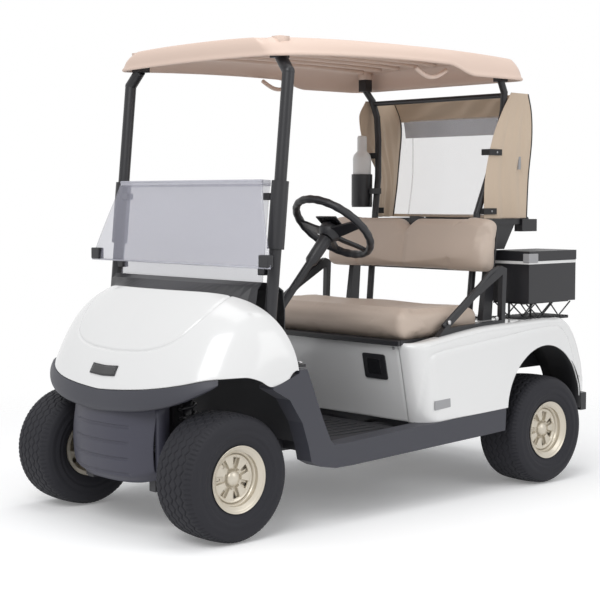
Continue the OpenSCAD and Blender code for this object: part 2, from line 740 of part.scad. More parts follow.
module seat_posts() {
    // Two posts from the deck to the seat back's shell
    color("#1d1e22") both_sides() {
        y = back_y + back_t + 12;
        difference() {
            translate([post_x - 14, 0, 0]) rotate([90, 0, 90]) linear_extrude(28)
                polygon([[y - 40, deck_top(y - 40) + seat_gap], [y + 30, deck_top(y + 30) + seat_gap],
                         [y + 50, back_low + 70], [y + 10, back_low + 70]]);
            back_frame() translate([-600, -100, -200]) cube([1200, 100 + back_t + 10.7, 900]);
        }
    }
}

module hip_restraints() {
    color("#1d1e22") both_sides()
        translate([seat_w / 2 + 14, 0, 0]) rotate([90, 0, 90]) linear_extrude(24) difference() {
            polygon(concat([for (y = [-640, -500, -380, -232]) [ra + y, deck_top(ra + y) + 0.4]],
                           [[ra - 222, 918], [ra - 258, 930], [ra - 420, 830], [ra - 600, deck_z + 10]]));
            polygon([[ra - 574, deck_z + 8], [ra - 340, deck_z + 18], [ra - 254, deck_z + 22],
                     [ra - 249, 893], [ra - 414, 803]]);
        }
}

// ---------------------------------------------------------------- rear struts and bag rack
rs_r = 15;
rs_foot_y = ra - 186;
// Centre line of the left rear strut
rs_pts = [[300, rs_foot_y, deck_top(rs_foot_y + 30) + seat_gap + 8], [305, ra - 143, 1141],
          [330, ra - 100, 1300], [360, ra - 70, 1470], [376, ra - 62, 1578], [392, ra - 76, 1652],
          [402, ra - 112, 1700]];

module rear_struts() {
    color("#1b1c20") {
        both_sides() {
            bent_rod(rs_pts, rs_r);
            translate(rs_pts[0] - [30, 30, 8]) cube([60, 60, 14]);
            block([380, ra - 134, 1694], [424, ra - 92, boss_z - seat_gap]);
        }
        rod([-378, ra - 70, 1640], [378, ra - 70, 1640], 11);
        rod([-301, ra - 152, 1010], [301, ra - 152, 1010], 9);
    }
}

module bag_rack() {
    z = 1092;
    color("#1b1c20") {
        both_sides() difference() {
            union() {
                block([288, ra - 150, z], [312, ra + 150, z + 24]);
                translate([296, 0, 0]) rotate([90, 0, 90]) linear_extrude(8)
                    polygon([[ra - 150, z + 2], [ra + 110, z + 2], [ra + 40, 985], [ra - 160, 985]]);
                block([278, ra + 140, z - 32], [322, ra + 241, z + 22]);
            }
            bent_rod([rs_pts[0], rs_pts[1], rs_pts[2]], rs_r + seat_gap);
            translate([250, ra - 200, 950]) rotate([-5.5, 0, 0]) cube([100, 42, 260]);
        }
        rod([-300, ra + 200, z + 20], [300, ra + 200, z + 20], 12);
    }
}

// ---------------------------------------------------------------- canopy
roof_f = fa + 223;
roof_r = ra - 50;
roof_t = 6;
roof_cy = (roof_f + roof_r) / 2;
roof_hl = (roof_r - roof_f) / 2;
roof_hw = roof_w / 2;
boss_z = roof_z - 62;
strut_in = 52;

// Height of the canopy's outer face.
function canopy_out(x, y) =
    roof_z - 16 * pow(abs(x) / roof_hw, 2.4) - 18 * pow(abs(y - roof_cy) / roof_hl, 2.6);
// Height of the canopy's inner face.
function canopy_in(x, y) = canopy_out(x, y) - roof_t;
// Height of the lip: it arches along the side and steps down behind the seat.
function lip_low(y) =
    let (q = (y - roof_cy) / roof_hl, w = max(0, min(1, (y - (ra - 560)) / 170)))
    lerp(roof_z - 76 - 22 * q * q, roof_z - 115, w * w * (3 - 2 * w));
// Plan outline as parts of the half width and half length, with rounded corners.
function corner_uv(k, i) =
    let (a = 90 * (k + i / 6), u = 1 - roof_cr / roof_hw, v = 1 - roof_cr / roof_hl,
         sx = k == 0 || k == 3 ? 1 : -1, sy = k < 2 ? 1 : -1)
    [sx * u + (1 - u) * cos(a), sy * v + (1 - v) * sin(a)];
roof_cr = 70;
roof_uv = [for (k = [0:3]) let (m = k % 2 == 0 ? 10 : 16)
    each concat([for (i = [0:6]) corner_uv(k, i)],
                [for (i = [1:m - 1]) lerp(corner_uv(k, 6), corner_uv((k + 1) % 4, 0), i / m)])];
// Plan point on that outline, inset, and narrowed to the front.
function plan_pt(p, in_x, in_y) =
    let (q = p.y, w = roof_hw - 25 * pow(max(0, -q), 2) - 8 * pow(max(0, q), 2))
    [p.x * (w - in_x * (1 + 0.35 * max(0, -q))), roof_cy + q * (roof_hl - in_y)];

module canopy() {
    function ring(k, g, dz) = [for (uv = roof_uv)
        let (p = plan_pt(uv, 52 + g, 14 + g), x = p.x * k, y = roof_cy + (p.y - roof_cy) * k)
        [x, y, canopy_out(x, y) - dz]];
    function lip(in_x, in_y, up) = [for (uv = roof_uv)
        let (p = plan_pt(uv, in_x, in_y)) [p.x, p.y, lip_low(p.y) + up]];
    color("#c2a88c") {
        rings_skin(concat(
            [for (k = [0.2, 0.45, 0.7, 0.88, 0.97, 1]) ring(k, 0, 0)],
            [lip(6, 3, 14), lip(0, 0, 6), lip(0, 0, 0), lip(roof_t, roof_t, 0),
             lip(6 + roof_t, 3 + roof_t, 14)],
            [for (k = [1, 0.97, 0.88, 0.7, 0.45, 0.2]) ring(k, roof_t, roof_t)]));
        // Bosses that the struts are bolted to
        both_sides()
            for (p = [[402, ra - 113], [strut_x - strut_in, fa + 300]])
                block([p[0] - 22, p[1] - 24, boss_z],
                      [p[0] + 22, p[1] + 24, canopy_in(p[0] + 22, p[1] + (p[1] > 0 ? 24 : -24)) + 2]);
    }
}

// ---------------------------------------------------------------- front struts and screen
strut_foot = [strut_x, fa + 186, leg_top + 6];
strut_top = [strut_x, fa + 291, 1660];

module front_struts() {
    color("#1b1c20") both_sides() {
        // The top turns inwards to its pad under the canopy
        top = [strut_x - strut_in, fa + 300, 1718];
        bent_rod([strut_foot, strut_top, top], strut_r);
        block([top.x - 28, top.y - 28, 1712], [top.x + 17, top.y + 28, boss_z - seat_gap]);
        // Ribbed sleeve over the lower half
        dir = unit(strut_top - strut_foot);
        rod(strut_foot + dir * 425, strut_foot + dir * 670, strut_r + 9);
        // Foot on the sill's leg
        block([strut_x - 24, fa + 160, leg_top + seat_gap], [strut_x + 40, fa + 340, leg_top + 10]);
    }
}

screen_t = 5;
screen_w = 434;
flap_w = 549;
hinge_z = 1269;

// Distance of the struts' front face from the front axle at height z.
function strut_y(z) = lerp(strut_foot.y, strut_top.y, (z - strut_foot.z) / (strut_top.z - strut_foot.z));

// Front face of the folded pane at height z.
flap_low = 961;
flap_tilt = 0.206;
flap_top_y = strut_y(hinge_z) - strut_r - 24;
function flap_y(z) = flap_top_y - flap_tilt * (hinge_z - z);

// Side outline of a pane between two heights; grown by g on each face.
module lower_pane(z0, z1, g) {
    y0 = strut_y(z0) - 10 - screen_t / 2;
    y1 = strut_y(z1) - 10 - screen_t / 2;
    polygon([[y0 - g, z0 - g], [y0 + screen_t + g, z0 - g], [y1 + screen_t + g, z1 + g], [y1 - g, z1 + g]]);
}

module windscreen_lower() {
    color([0.8, 0.8, 0.9, 0.5]) across(screen_w) lower_pane(912, hinge_z - 8, 0);
}

module windscreen_upper() {
    color([0.8, 0.8, 0.9, 0.5]) across(flap_w - 60)
        polygon([[flap_y(flap_low), flap_low], [flap_y(flap_low) + screen_t, flap_low],
                 [flap_top_y + screen_t, hinge_z], [flap_top_y, hinge_z]]);
}

module screen_clips() {
    color("#1b1c20") {
        // Hinge strip along the fold, over both panes
        across(screen_w) difference() {
            polygon([[flap_top_y - 6, hinge_z - 14], [strut_y(hinge_z) + 2, hinge_z - 22],
                     [strut_y(hinge_z) + 2, hinge_z + 8], [flap_top_y - 6, hinge_z + 8]]);
            polygon([[flap_y(1200) - seat_gap, 1200], [flap_y(1200) + screen_t + seat_gap, 1200],
                     [flap_top_y + screen_t + seat_gap, hinge_z + seat_gap],
                     [flap_top_y - seat_gap, hinge_z + seat_gap]]);
            lower_pane(912, hinge_z - 8, seat_gap);
        }
        both_sides() {
            // Clamps that hold the lower pane to the struts
            for (z = [930, 1200])
                difference() {
                    block([screen_w - 20, strut_y(z) - 24, z], [strut_x, strut_y(z) + 10, z + 26]);
                    across(screen_w + seat_gap) lower_pane(912, hinge_z - 8, seat_gap);
                    rod(strut_foot, strut_top, strut_r + 9 + seat_gap);
                }
            // Rubber keeper of the folded pane
            translate([strut_x - 34, 0, 0]) rotate([90, 0, 90]) linear_extrude(38)
                polygon([[flap_y(1002) - 28, 1002], [flap_y(1002) - seat_gap, 1002],
                         [flap_y(1040) - seat_gap, 1040], [flap_y(1040) - 28, 1040]]);
        }
    }
}

// ---------------------------------------------------------------- bag cover
cover_t = 4;
cover_corner = 14;
window_half = 288;
window_z = [1160, 1560];
pane_t = 1;
pane_lap = 12;
pane_gap = 0.6;
// At each height, from the top down: the strut, the left rear corner and the right rear corner
cover_rows = [
    [rs_pts[5], [398, ra + 72, 1652], [-398, ra + 72, 1652]],
    [rs_pts[4], [390, ra + 104, 1578], [-390, ra + 104, 1578]],
    [rs_pts[3], [374, ra + 130, 1470], [-404, ra + 124, 1470]],
    [rs_pts[2], [333, ra + 160, 1300], [-418, ra + 118, 1300]],
    [lerp(rs_pts[1], rs_pts[0], 0.05), [322, ra + 164, 1119], [-414, ra + 85, 1119]]];

// Columns of one side: wing front edge at the strut, wing rear edge, corner of the back.
function cover_side(f, r, d, s) =
    [[s * (f.x + 2 - d), f.y + rs_r + 1, f.z], [r.x - s * d, r.y - 12, r.z],
     [r.x - s * (cover_corner + d), r.y - d, r.z]];
// The same rows with two more between each pair.
cover_fine = concat([for (i = [0:3], k = [0:2]) lerp(cover_rows[i], cover_rows[i + 1], k / 3)],
                    [cover_rows[4]]);
back_cols = 12;
// The row at height z, which lies below fine row i.
function cover_at(i, z) =
    let (a = cover_fine[i], b = cover_fine[i + 1]) lerp(a, b, (a[1].z - z) / (a[1].z - b[1].z));
// Point at x just inside the back's inner face, for one row.
function cover_back(row, x, g) =
    let (in = cover_corner + cover_t, xl = row[1].x - in, xr = row[2].x + in)
    [x, lerp(row[2].y, row[1].y, (x - xr) / (xl - xr)) - cover_t - g, row[1].z];

module bag_cover() {
    function full(row, d) =
        let (a = cover_side(row[0], row[1], d, 1), b = cover_side(row[0], row[2], d, -1))
        concat(a, [for (k = [1:back_cols - 1]) lerp(a[2], b[2], k / back_cols)], [b[2], b[1], b[0]]);
    color("#c2a88c") difference() {
        panel([for (r = cover_fine) full(r, 0)], [for (r = cover_fine) full(r, cover_t)]);
        // Window opening
        block([-window_half, ra - 50, window_z[0]], [window_half, ra + 400, window_z[1]]);
    }
}

module bag_cover_window() {
    // The pane laps behind the opening's edge
    rows = concat([cover_at(3, window_z[1] + pane_lap)], [for (i = [4:11]) cover_fine[i]],
                  [cover_at(11, window_z[0] - pane_lap)]);
    xs = [for (k = [0:back_cols]) (window_half + pane_lap) * (2 * k / back_cols - 1)];
    color([0.7, 0.7, 0.8, 0.4])
        panel([for (r = rows) [for (x = xs) cover_back(r, x, pane_gap)]],
              [for (r = rows) [for (x = xs) cover_back(r, x, pane_gap + pane_t)]]);
}

// ---------------------------------------------------------------- cooler and bottle
cool_lo = [342, ra - 96, 768];
cool_hi = [552, ra + 220, 944];
cool_wall = 16;
lid_z = cool_hi.z + seat_gap;
lid_hinge = [0, cool_hi.y + 9, cool_hi.z + 2];
lid_pin_r = 3;
lid_barrel_r = 7;

module cooler_body() {
    color("#2a2b31") {
        difference() {
            block(cool_lo, cool_hi);
            block([cool_lo.x + cool_wall, cool_lo.y + cool_wall, cool_lo.z + cool_wall],
                  [cool_hi.x - cool_wall, cool_hi.y - cool_wall, cool_hi.z + 1]);
        }
        // Hinge lugs with their pins
        for (x = [cool_lo.x + 40, cool_hi.x - 78]) {
            for (e = [x - 9, x + 39])
                translate([e, cool_hi.y, cool_hi.z]) rotate([90, 0, 90]) linear_extrude(8)
                    polygon([[-1, -24], [6, -24], [14, -10], [14, 7], [3, 7], [3, -2], [-1, -2]]);
            translate([x - 8, lid_hinge.y, lid_hinge.z]) rotate([0, 90, 0]) cylinder(h = 54, r = lid_pin_r);
        }
    }
}

module cooler_lid() {
    color("#2a2b31") difference() {
        union() {
            block([cool_lo.x - 2, cool_lo.y - 4, lid_z], [cool_hi.x + 4, cool_hi.y - 0.5, lid_z + 40]);
            block([cool_lo.x + cool_wall + 5, cool_lo.y + cool_wall + 5, lid_z - 14],
                  [cool_hi.x - cool_wall - 5, cool_hi.y - cool_wall - 5, lid_z + 1]);
            for (x = [cool_lo.x + 40, cool_hi.x - 78]) {
                translate([x, lid_hinge.y, lid_hinge.z]) rotate([0, 90, 0])
                    cylinder(h = 38, r = lid_barrel_r);
                block([x, cool_hi.y - 1, lid_hinge.z], [x + 38, lid_hinge.y, lid_hinge.z + lid_barrel_r - 0.5]);
            }
        }
        translate([0, lid_hinge.y, lid_hinge.z]) rotate([0, 90, 0])
            cylinder(h = 800, r = lid_pin_r + run_gap);
    }
}

module cooler_rack() {
    z = cool_lo.z - seat_gap - 8;
    color("#1b1c20") {
        for (x = [cool_lo.x + 20, cool_hi.x - 40])
            rod([x, cool_lo.y, z + 4], [x, cool_hi.y, z + 4], 4);
        for (y = [cool_lo.y + 20 : 72 : cool_hi.y])
            rod([cool_lo.x + 19, y, z + 3.6], [cool_hi.x - 39, y, z + 3.6], 3);
        for (y = [cool_lo.y + 20, cool_lo.y + 164])
            rod([430, y, z + 4], [430, y, deck_z + 12], 5);
        block([400, cool_lo.y, deck_top(ra + 60) + seat_gap], [470, cool_lo.y + 190, deck_z + 16]);
    }
}

bottle_at = [-385, ra - 150, 1165];

module sand_bottle() {
    color("#1b1c20") difference() {
        union() {
            translate(bottle_at) cylinder(h = 150, r = 46);
            // Clamp on the right rear strut
            block([bottle_at.x + 20, bottle_at.y - 4, bottle_at.z + 60],
                  [-300, bottle_at.y + 40, bottle_at.z + 86]);
        }
        translate(bottle_at + [0, 0, 4]) cylinder(h = 150, r = 43);
        mirror([1, 0, 0]) bent_rod([for (i = [0:3]) rs_pts[i]], rs_r + seat_gap);
    }
    color("white") translate(bottle_at + [0, 0, 4 + seat_gap]) {
        cylinder(h = 220, r = 42);
        translate([0, 0, 220]) cylinder(h = 26, r1 = 42, r2 = 22);
        translate([0, 0, 246]) cylinder(h = 80, r = 22);
    }
}

frame();
front_arms();
front_shocks();
rack_housing();
rear_axle();
rear_springs();
rear_shocks();
battery_pack();
floor_pan();
sills();
front_cowl();
front_bumper();
front_apron();
dash();
steering_column();
pedals();
rear_body();
bag_well();
rear_bumper();
seat_back();
seat_back_shell();
seat_posts();
hip_restraints();
bag_rack();
front_struts();
rear_struts();
canopy();
windscreen_lower();
windscreen_upper();
screen_clips();
bag_cover();
bag_cover_window();
cooler_body();
cooler_rack();
sand_bottle();
seat_cushion();
seat_base();
cooler_lid();
steering_wheel();
steering_rack();
knuckle();  // knuckle_left
mirror([1, 0, 0]) knuckle();  // knuckle_right
wheel_at(track_f / 2, fa) tyre();  // tyre_front_left
wheel_at(-track_f / 2, fa) tyre();  // tyre_front_right
wheel_at(track_r / 2, ra) tyre();  // tyre_rear_left
wheel_at(-track_r / 2, ra) tyre();  // tyre_rear_right
wheel_at(track_f / 2, fa) rim();  // rim_front_left
wheel_at(-track_f / 2, fa) mirror([1, 0, 0]) rim();  // rim_front_right
wheel_at(track_r / 2, ra) rim();  // rim_rear_left
wheel_at(-track_r / 2, ra) mirror([1, 0, 0]) rim();  // rim_rear_right
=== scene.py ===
import math
import bmesh
import bpy
import numpy as np
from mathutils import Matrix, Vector


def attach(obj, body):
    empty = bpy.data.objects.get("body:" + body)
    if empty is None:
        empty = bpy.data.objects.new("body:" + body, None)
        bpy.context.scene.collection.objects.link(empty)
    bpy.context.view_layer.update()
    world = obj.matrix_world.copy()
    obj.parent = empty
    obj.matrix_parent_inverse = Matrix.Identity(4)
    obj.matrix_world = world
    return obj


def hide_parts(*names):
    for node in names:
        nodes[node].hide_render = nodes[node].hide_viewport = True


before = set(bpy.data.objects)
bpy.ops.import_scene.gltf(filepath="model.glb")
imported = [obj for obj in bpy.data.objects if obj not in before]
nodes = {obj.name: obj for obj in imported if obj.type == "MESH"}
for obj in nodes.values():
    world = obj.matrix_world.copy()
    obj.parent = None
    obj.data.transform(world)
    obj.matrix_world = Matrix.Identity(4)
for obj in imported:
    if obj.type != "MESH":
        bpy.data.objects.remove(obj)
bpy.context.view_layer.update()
print("stage: frame loaded")

# Axle places along the cart, shared by every piece below.
frontAxle = -0.9182
rearAxle = 0.7518
halfWidth = 0.580


# Smooth curve through stations, flat where the stations turn.
def curve(x, xs, ys):
    x, xs, ys = np.asarray(x, float), np.asarray(xs, float), np.asarray(ys, float)
    d = np.diff(ys) / np.diff(xs)
    m = np.concatenate([[d[0]], np.where(d[1:] * d[:-1] <= 0, 0, (d[1:] + d[:-1]) / 2), [d[-1]]])
    i = np.clip(np.searchsorted(xs, x, side="right") - 1, 0, len(xs) - 2)
    h = xs[i + 1] - xs[i]
    t = (np.clip(x, xs[0], xs[-1]) - xs[i]) / h
    return ((2 * t**3 - 3 * t**2 + 1) * ys[i] + (t**3 - 2 * t**2 + t) * h * m[i]
            + (3 * t**2 - 2 * t**3) * ys[i + 1] + (t**3 - t**2) * h * m[i + 1])


def smooth(a, b, x):
    t = np.clip((np.asarray(x, float) - a) / (b - a), 0, 1)
    return t * t * (3 - 2 * t)


def mix(a, b, t):
    return a + (b - a) * t


# Distance from points (a, b) to a polyline.
def lineDistance(a, b, line):
    best = np.full(np.shape(a), 9.0)
    for (p, q), (r, s) in zip(line[:-1], line[1:]):
        u, v = r - p, s - q
        t = np.clip(((a - p) * u + (b - q) * v) / (u * u + v * v), 0, 1)
        best = np.minimum(best, np.hypot(a - p - t * u, b - q - t * v))
    return best


# Quads over a grid of points [row][column]; either direction may close on itself.
def surface(p, wrapRow=False, wrapColumn=False, flip=False):
    p = np.asarray(p, float)
    rows, columns = p.shape[:2]
    i = np.arange(rows if wrapRow else rows - 1)
    j = np.arange(columns if wrapColumn else columns - 1)
    i, j = np.meshgrid(i, j, indexing="ij")
    i2, j2 = (i + 1) % rows, (j + 1) % columns
    q = np.stack([i * columns + j, i * columns + j2, i2 * columns + j2, i2 * columns + j], -1)
    q = q.reshape(-1, 4)
    return p.reshape(-1, 3), (q[:, ::-1] if flip else q).tolist()


# Box between two corners.
def box(lo, hi):
    x, y, z = zip(lo, hi)
    v = [(x[a], y[b], z[c]) for a in (0, 1) for b in (0, 1) for c in (0, 1)]
    return np.array(v), [[0, 1, 3, 2], [4, 6, 7, 5], [0, 4, 5, 1], [2, 3, 7, 6], [0, 2, 6, 4], [1, 5, 7, 3]]


# Outline in (y, z) carried from x0 to x1.
def prism(outline, x0, x1):
    n = len(outline)
    v = [(x0, y, z) for y, z in outline] + [(x1, y, z) for y, z in outline]
    f = [list(range(n))[::-1], list(range(n, 2 * n))]
    f += [[i, (i + 1) % n, n + (i + 1) % n, n + i] for i in range(n)]
    return np.array(v), f


# Round tube along a path; the radius may change along it.
def tube(path, radius, sides=12, closed=False):
    path = np.asarray(path, float)
    n = len(path)
    radius = np.broadcast_to(np.asarray(radius, float), (n,))
    if closed:
        tangent = np.roll(path, -1, 0) - np.roll(path, 1, 0)
    else:
        tangent = np.gradient(path, axis=0)
    tangent /= np.linalg.norm(tangent, axis=1)[:, None]
    side = np.cross(tangent[0], [0.0, 0.0, 1.0])
    if np.linalg.norm(side) < 0.2:
        side = np.cross(tangent[0], [1.0, 0.0, 0.0])
    sideList = []
    for t in tangent:
        side = side - t * np.dot(side, t)
        side = side / np.linalg.norm(side)
        sideList.append(side)
    s = np.array(sideList)
    u = np.cross(tangent, s)
    a = np.linspace(0, 2 * np.pi, sides, endpoint=False)
    ring = (path[:, None] + radius[:, None, None] * (np.cos(a)[None, :, None] * s[:, None]
                                                     + np.sin(a)[None, :, None] * u[:, None]))
    v, f = surface(ring, wrapRow=closed, wrapColumn=True)
    if not closed:
        f = f + [list(range(sides)), list(range((n - 1) * sides, n * sides))]
    return v, f


# Closed profile of (radius, offset) turned about an axis through a centre.
def lathe(profile, centre, axis=(1, 0, 0), sides=48, closed=True):
    p = np.asarray(profile, float)
    axis = np.array(axis, float) / np.linalg.norm(axis)
    s = np.cross(axis, [0.0, 0.0, 1.0])
    if np.linalg.norm(s) < 0.2:
        s = np.cross(axis, [0.0, 1.0, 0.0])
    s /= np.linalg.norm(s)
    u = np.cross(axis, s)
    a = np.linspace(0, 2 * np.pi, sides, endpoint=False)
    ring = np.cos(a)[:, None] * s + np.sin(a)[:, None] * u
    v = np.array(centre) + p[:, None, :1] * ring[None] + p[:, None, 1:] * axis
    return surface(v, wrapRow=closed, wrapColumn=True)


def along(path, n):
    path = np.asarray(path, float)
    d = np.concatenate([[0], np.cumsum(np.linalg.norm(np.diff(path, axis=0), axis=1))])
    t = np.linspace(0, d[-1], n)
    return np.stack([curve(t, d, path[:, k]) for k in range(3)], 1)


def joined(*parts):
    v, f, n = [], [], 0
    for a, b in parts:
        v.append(np.asarray(a, float).reshape(-1, 3))
        f += [[i + n for i in q] for q in b]
        n += len(v[-1])
    return np.concatenate(v), f


# A part whose points are moved into a piece's own frame.
def carried(part, place):
    return place(part[0]), part[1]


def mirrored(part):
    v, f = part
    return np.asarray(v) * [-1, 1, 1], [q[::-1] for q in f]


def both(part):
    return joined(part, mirrored(part))


# One piece: its mesh, its materials, the body it rides on and the CAD nodes it stands for.
def piece(name, part, material, body="chassis", stands=(), closed=True, sharp=None,
          pick=None, bevel=0.0):
    v, f = part
    mesh = bpy.data.meshes.new(name)
    mesh.from_pydata(np.asarray(v, float).tolist(), [], f)
    if closed:
        b = bmesh.new()
        b.from_mesh(mesh)
        bmesh.ops.recalc_face_normals(b, faces=b.faces)
        b.to_mesh(mesh)
        b.free()
    mesh.polygons.foreach_set("use_smooth", [True] * len(mesh.polygons))
    if sharp:
        mesh.set_sharp_from_angle(angle=math.radians(sharp))
    for m in material if isinstance(material, (list, tuple)) else [material]:
        mesh.materials.append(m)
    if pick is not None:
        mesh.polygons.foreach_set("material_index", np.asarray(pick, np.int32))
    obj = bpy.data.objects.new(name, mesh)
    bpy.context.scene.collection.objects.link(obj)
    if bevel:
        edge = obj.modifiers.new("edge", "BEVEL")
        edge.width, edge.segments, edge.limit_method = bevel, 3, "ANGLE"
        edge.angle_limit = math.radians(35)
        edge.harden_normals = False
    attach(obj, body)
    if stands:
        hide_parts(*stands)
    return obj


def solid(obj, thickness):
    m = obj.modifiers.new("skin", "SOLIDIFY")
    m.thickness, m.offset = thickness, -1
    return obj


# Materials
# Each is a plain colour, shifted a little by slow noise, with roughness from the same noise and,
# where given, fine relief from a second texture.
def surfaceMaterial(name, colour, rough=0.5, metallic=0.0, coat=0.0, tint=0.05, scale=3.0,
                    relief=None, reliefScale=300.0, height=0.0002, alpha=1.0, specular=0.5, sheen=0.0):
    m = bpy.data.materials.new(name)
    m.use_nodes = True
    tree = m.node_tree
    shader = tree.nodes["Principled BSDF"]
    place = tree.nodes.new("ShaderNodeTexCoord")
    noise = tree.nodes.new("ShaderNodeTexNoise")
    noise.inputs["Scale"].default_value = scale
    noise.inputs["Detail"].default_value = 3.0
    tree.links.new(place.outputs["Object"], noise.inputs["Vector"])
    blend = tree.nodes.new("ShaderNodeMix")
    blend.data_type = "RGBA"
    colour = list(colour)[:3]
    blend.inputs[6].default_value = [c * (1 - tint) for c in colour] + [1]
    blend.inputs[7].default_value = [min(1, c * (1 + tint)) for c in colour] + [1]
    tree.links.new(noise.outputs["Fac"], blend.inputs[0])
    tree.links.new(blend.outputs[2], shader.inputs["Base Color"])
    spread = tree.nodes.new("ShaderNodeMapRange")
    spread.inputs["To Min"].default_value = max(0.02, rough - 0.06)
    spread.inputs["To Max"].default_value = min(1, rough + 0.06)
    tree.links.new(noise.outputs["Fac"], spread.inputs["Value"])
    tree.links.new(spread.outputs["Result"], shader.inputs["Roughness"])
    shader.inputs["Metallic"].default_value = metallic
    shader.inputs["Coat Weight"].default_value = coat
    shader.inputs["Coat Roughness"].default_value = 0.08
    shader.inputs["Specular IOR Level"].default_value = specular
    shader.inputs["Sheen Weight"].default_value = sheen
    shader.inputs["Alpha"].default_value = alpha
    if relief:
        kind = {"noise": "ShaderNodeTexNoise", "cells": "ShaderNodeTexVoronoi"}[relief]
        fine = tree.nodes.new(kind)
        fine.inputs["Scale"].default_value = reliefScale
        tree.links.new(place.outputs["Object"], fine.inputs["Vector"])
        bump = tree.nodes.new("ShaderNodeBump")
        bump.inputs["Distance"].default_value = height
        bump.inputs["Strength"].default_value = 0.6
        tree.links.new(fine.outputs["Distance" if relief == "cells" else "Fac"], bump.inputs["Height"])
        tree.links.new(bump.outputs["Normal"], shader.inputs["Normal"])
    return m


looks = {
    "bodyWhite": dict(colour=(0.78, 0.78, 0.775), rough=0.22, coat=0.5, tint=0.01),
    "cladding": dict(colour=(0.040, 0.041, 0.053), rough=0.5, relief="noise", reliefScale=900),
    "apronGrey": dict(colour=(0.046, 0.046, 0.066), rough=0.5, relief="noise", reliefScale=900),
    "blackPlastic": dict(colour=(0.016, 0.016, 0.019), rough=0.42, relief="noise", reliefScale=700),
    "blackGloss": dict(colour=(0.012, 0.012, 0.014), rough=0.18, coat=0.3),
    "blackMetal": dict(colour=(0.014, 0.014, 0.017), rough=0.36, relief="noise", reliefScale=1200,
                       height=0.0001),
    "chassisMetal": dict(colour=(0.030, 0.030, 0.034), rough=0.5),
    "castMetal": dict(colour=(0.16, 0.16, 0.17), rough=0.55, metallic=0.7, relief="noise"),
    "brightSteel": dict(colour=(0.55, 0.55, 0.56), rough=0.3, metallic=1.0),
    "tyreRubber": dict(colour=(0.020, 0.020, 0.025), rough=0.72, specular=0.3, relief="noise",
                       reliefScale=500),
    "rubber": dict(colour=(0.016, 0.016, 0.017), rough=0.75),
    "champagne": dict(colour=(0.60, 0.55, 0.46), rough=0.34, metallic=0.55, coat=0.3),
    # Near black for painted shade in the wheel covers' slots and inside the wheel arches
    "paintedShade": dict(colour=(0.010, 0.010, 0.012), rough=0.6),
    "vinyl": dict(colour=(0.55, 0.45, 0.375), rough=0.5, relief="cells", reliefScale=520,
                  height=0.00025, tint=0.04),
    "canvas": dict(colour=(0.64, 0.51, 0.385), rough=0.82, relief="noise", reliefScale=1300,
                   tint=0.06, sheen=0.2),
    "canopyBeige": dict(colour=(0.73, 0.565, 0.475), rough=0.48, relief="noise", reliefScale=420,
                        tint=0.03),
    # A darker copy of the canopy beige, for its underside: painted shade
    "canopyPaintedShade": dict(colour=(0.40, 0.31, 0.235), rough=0.6),
    "whitePlastic": dict(colour=(0.78, 0.78, 0.77), rough=0.4),
    "greyPlastic": dict(colour=(0.33, 0.33, 0.34), rough=0.4),
    "pane": dict(colour=(0.46, 0.46, 0.54), rough=0.06, alpha=0.30, tint=0.02),
    # A lighter copy of the pane: a painted highlight on the screen's edges and hinge strip
    "paneEdgeHighlight": dict(colour=(0.66, 0.66, 0.73), rough=0.12, alpha=0.55),
    # A darker copy of the pane: painted shade across the head of the bag cover's window
    "windowPaintedShade": dict(colour=(0.22, 0.21, 0.25), rough=0.12, alpha=0.62),
    "vinylWindow": dict(colour=(0.86, 0.86, 0.90), rough=0.1, alpha=0.20),
    "matRubber": dict(colour=(0.022, 0.022, 0.026), rough=0.7, relief="noise", reliefScale=260),
}
m = {k: surfaceMaterial(k, **v) for k, v in looks.items()}

# The CAD nodes that are shown as they are take one of these each.
nodeLooks = {
    "chassisMetal": "frame front_arms rear_springs rear_shocks knuckle_left knuckle_right front_shocks",
    "castMetal": "rack_housing rear_axle",
    "brightSteel": "steering_rack",
    "blackPlastic": "battery_pack bag_well dash steering_column seat_back_shell seat_base cooler_body "
                    "cooler_lid rear_bumper steering_wheel",
    "matRubber": "floor_pan pedals",
    "cladding": "sills front_bumper",
    "apronGrey": "front_apron",
    "blackMetal": "seat_posts hip_restraints bag_rack front_struts rear_struts cooler_rack screen_clips",
    "bodyWhite": "front_cowl rear_body",
    "canopyBeige": "canopy",
    "vinyl": "seat_back seat_cushion",
    "pane": "windscreen_lower windscreen_upper",
    "canvas": "bag_cover",
    "vinylWindow": "bag_cover_window",
    "whitePlastic": "sand_bottle",
    "tyreRubber": "tyre_front_left tyre_front_right tyre_rear_left tyre_rear_right",
    "champagne": "rim_front_left rim_front_right rim_rear_left rim_rear_right",
}
for look, names in nodeLooks.items():
    for name in names.split():
        nodes[name].data.materials.clear()
        nodes[name].data.materials.append(m[look])
for name, width in {"sills": 0.012, "hip_restraints": 0.005, "cooler_body": 0.006, "cooler_lid": 0.008,
                    "rear_bumper": 0.012, "bag_rack": 0.003, "seat_base": 0.003, "pedals": 0.002,
                    "frame": 0.003, "seat_posts": 0.003, "bag_well": 0.0015}.items():
    edge = nodes[name].modifiers.new("edge", "BEVEL")
    edge.width, edge.segments, edge.limit_method = width, 3, "ANGLE"
    edge.angle_limit = math.radians(40)
print("stage: materials")


# Front cowl: a swept shell between its lower edge and its rear edge
cowl = dict(rear=frontAxle + 0.252, sweep=0.467, low=0.583, crown=0.869,
            stations=[0, 0.25, 0.42, 0.55, 0.66, 0.76, 0.84, 0.90, 0.95, 1],
            edge=[0.516, 0.537, 0.557, 0.575, 0.582, 0.584, 0.569, 0.545, 0.558, 0.583],
            line=[(0, 0.651), (0.132, 0.657), (0.19, 0.664), (0.24, 0.675), (0.275, 0.688),
                  (0.303, 0.703), (0.326, 0.726), (0.343, 0.753), (0.357, 0.778), (0.366, 0.804),
                  (0.370, 0.84), (0.371, 0.9)],
            grooveDepth=0.0046, grooveWidth=0.0036, skin=0.005)


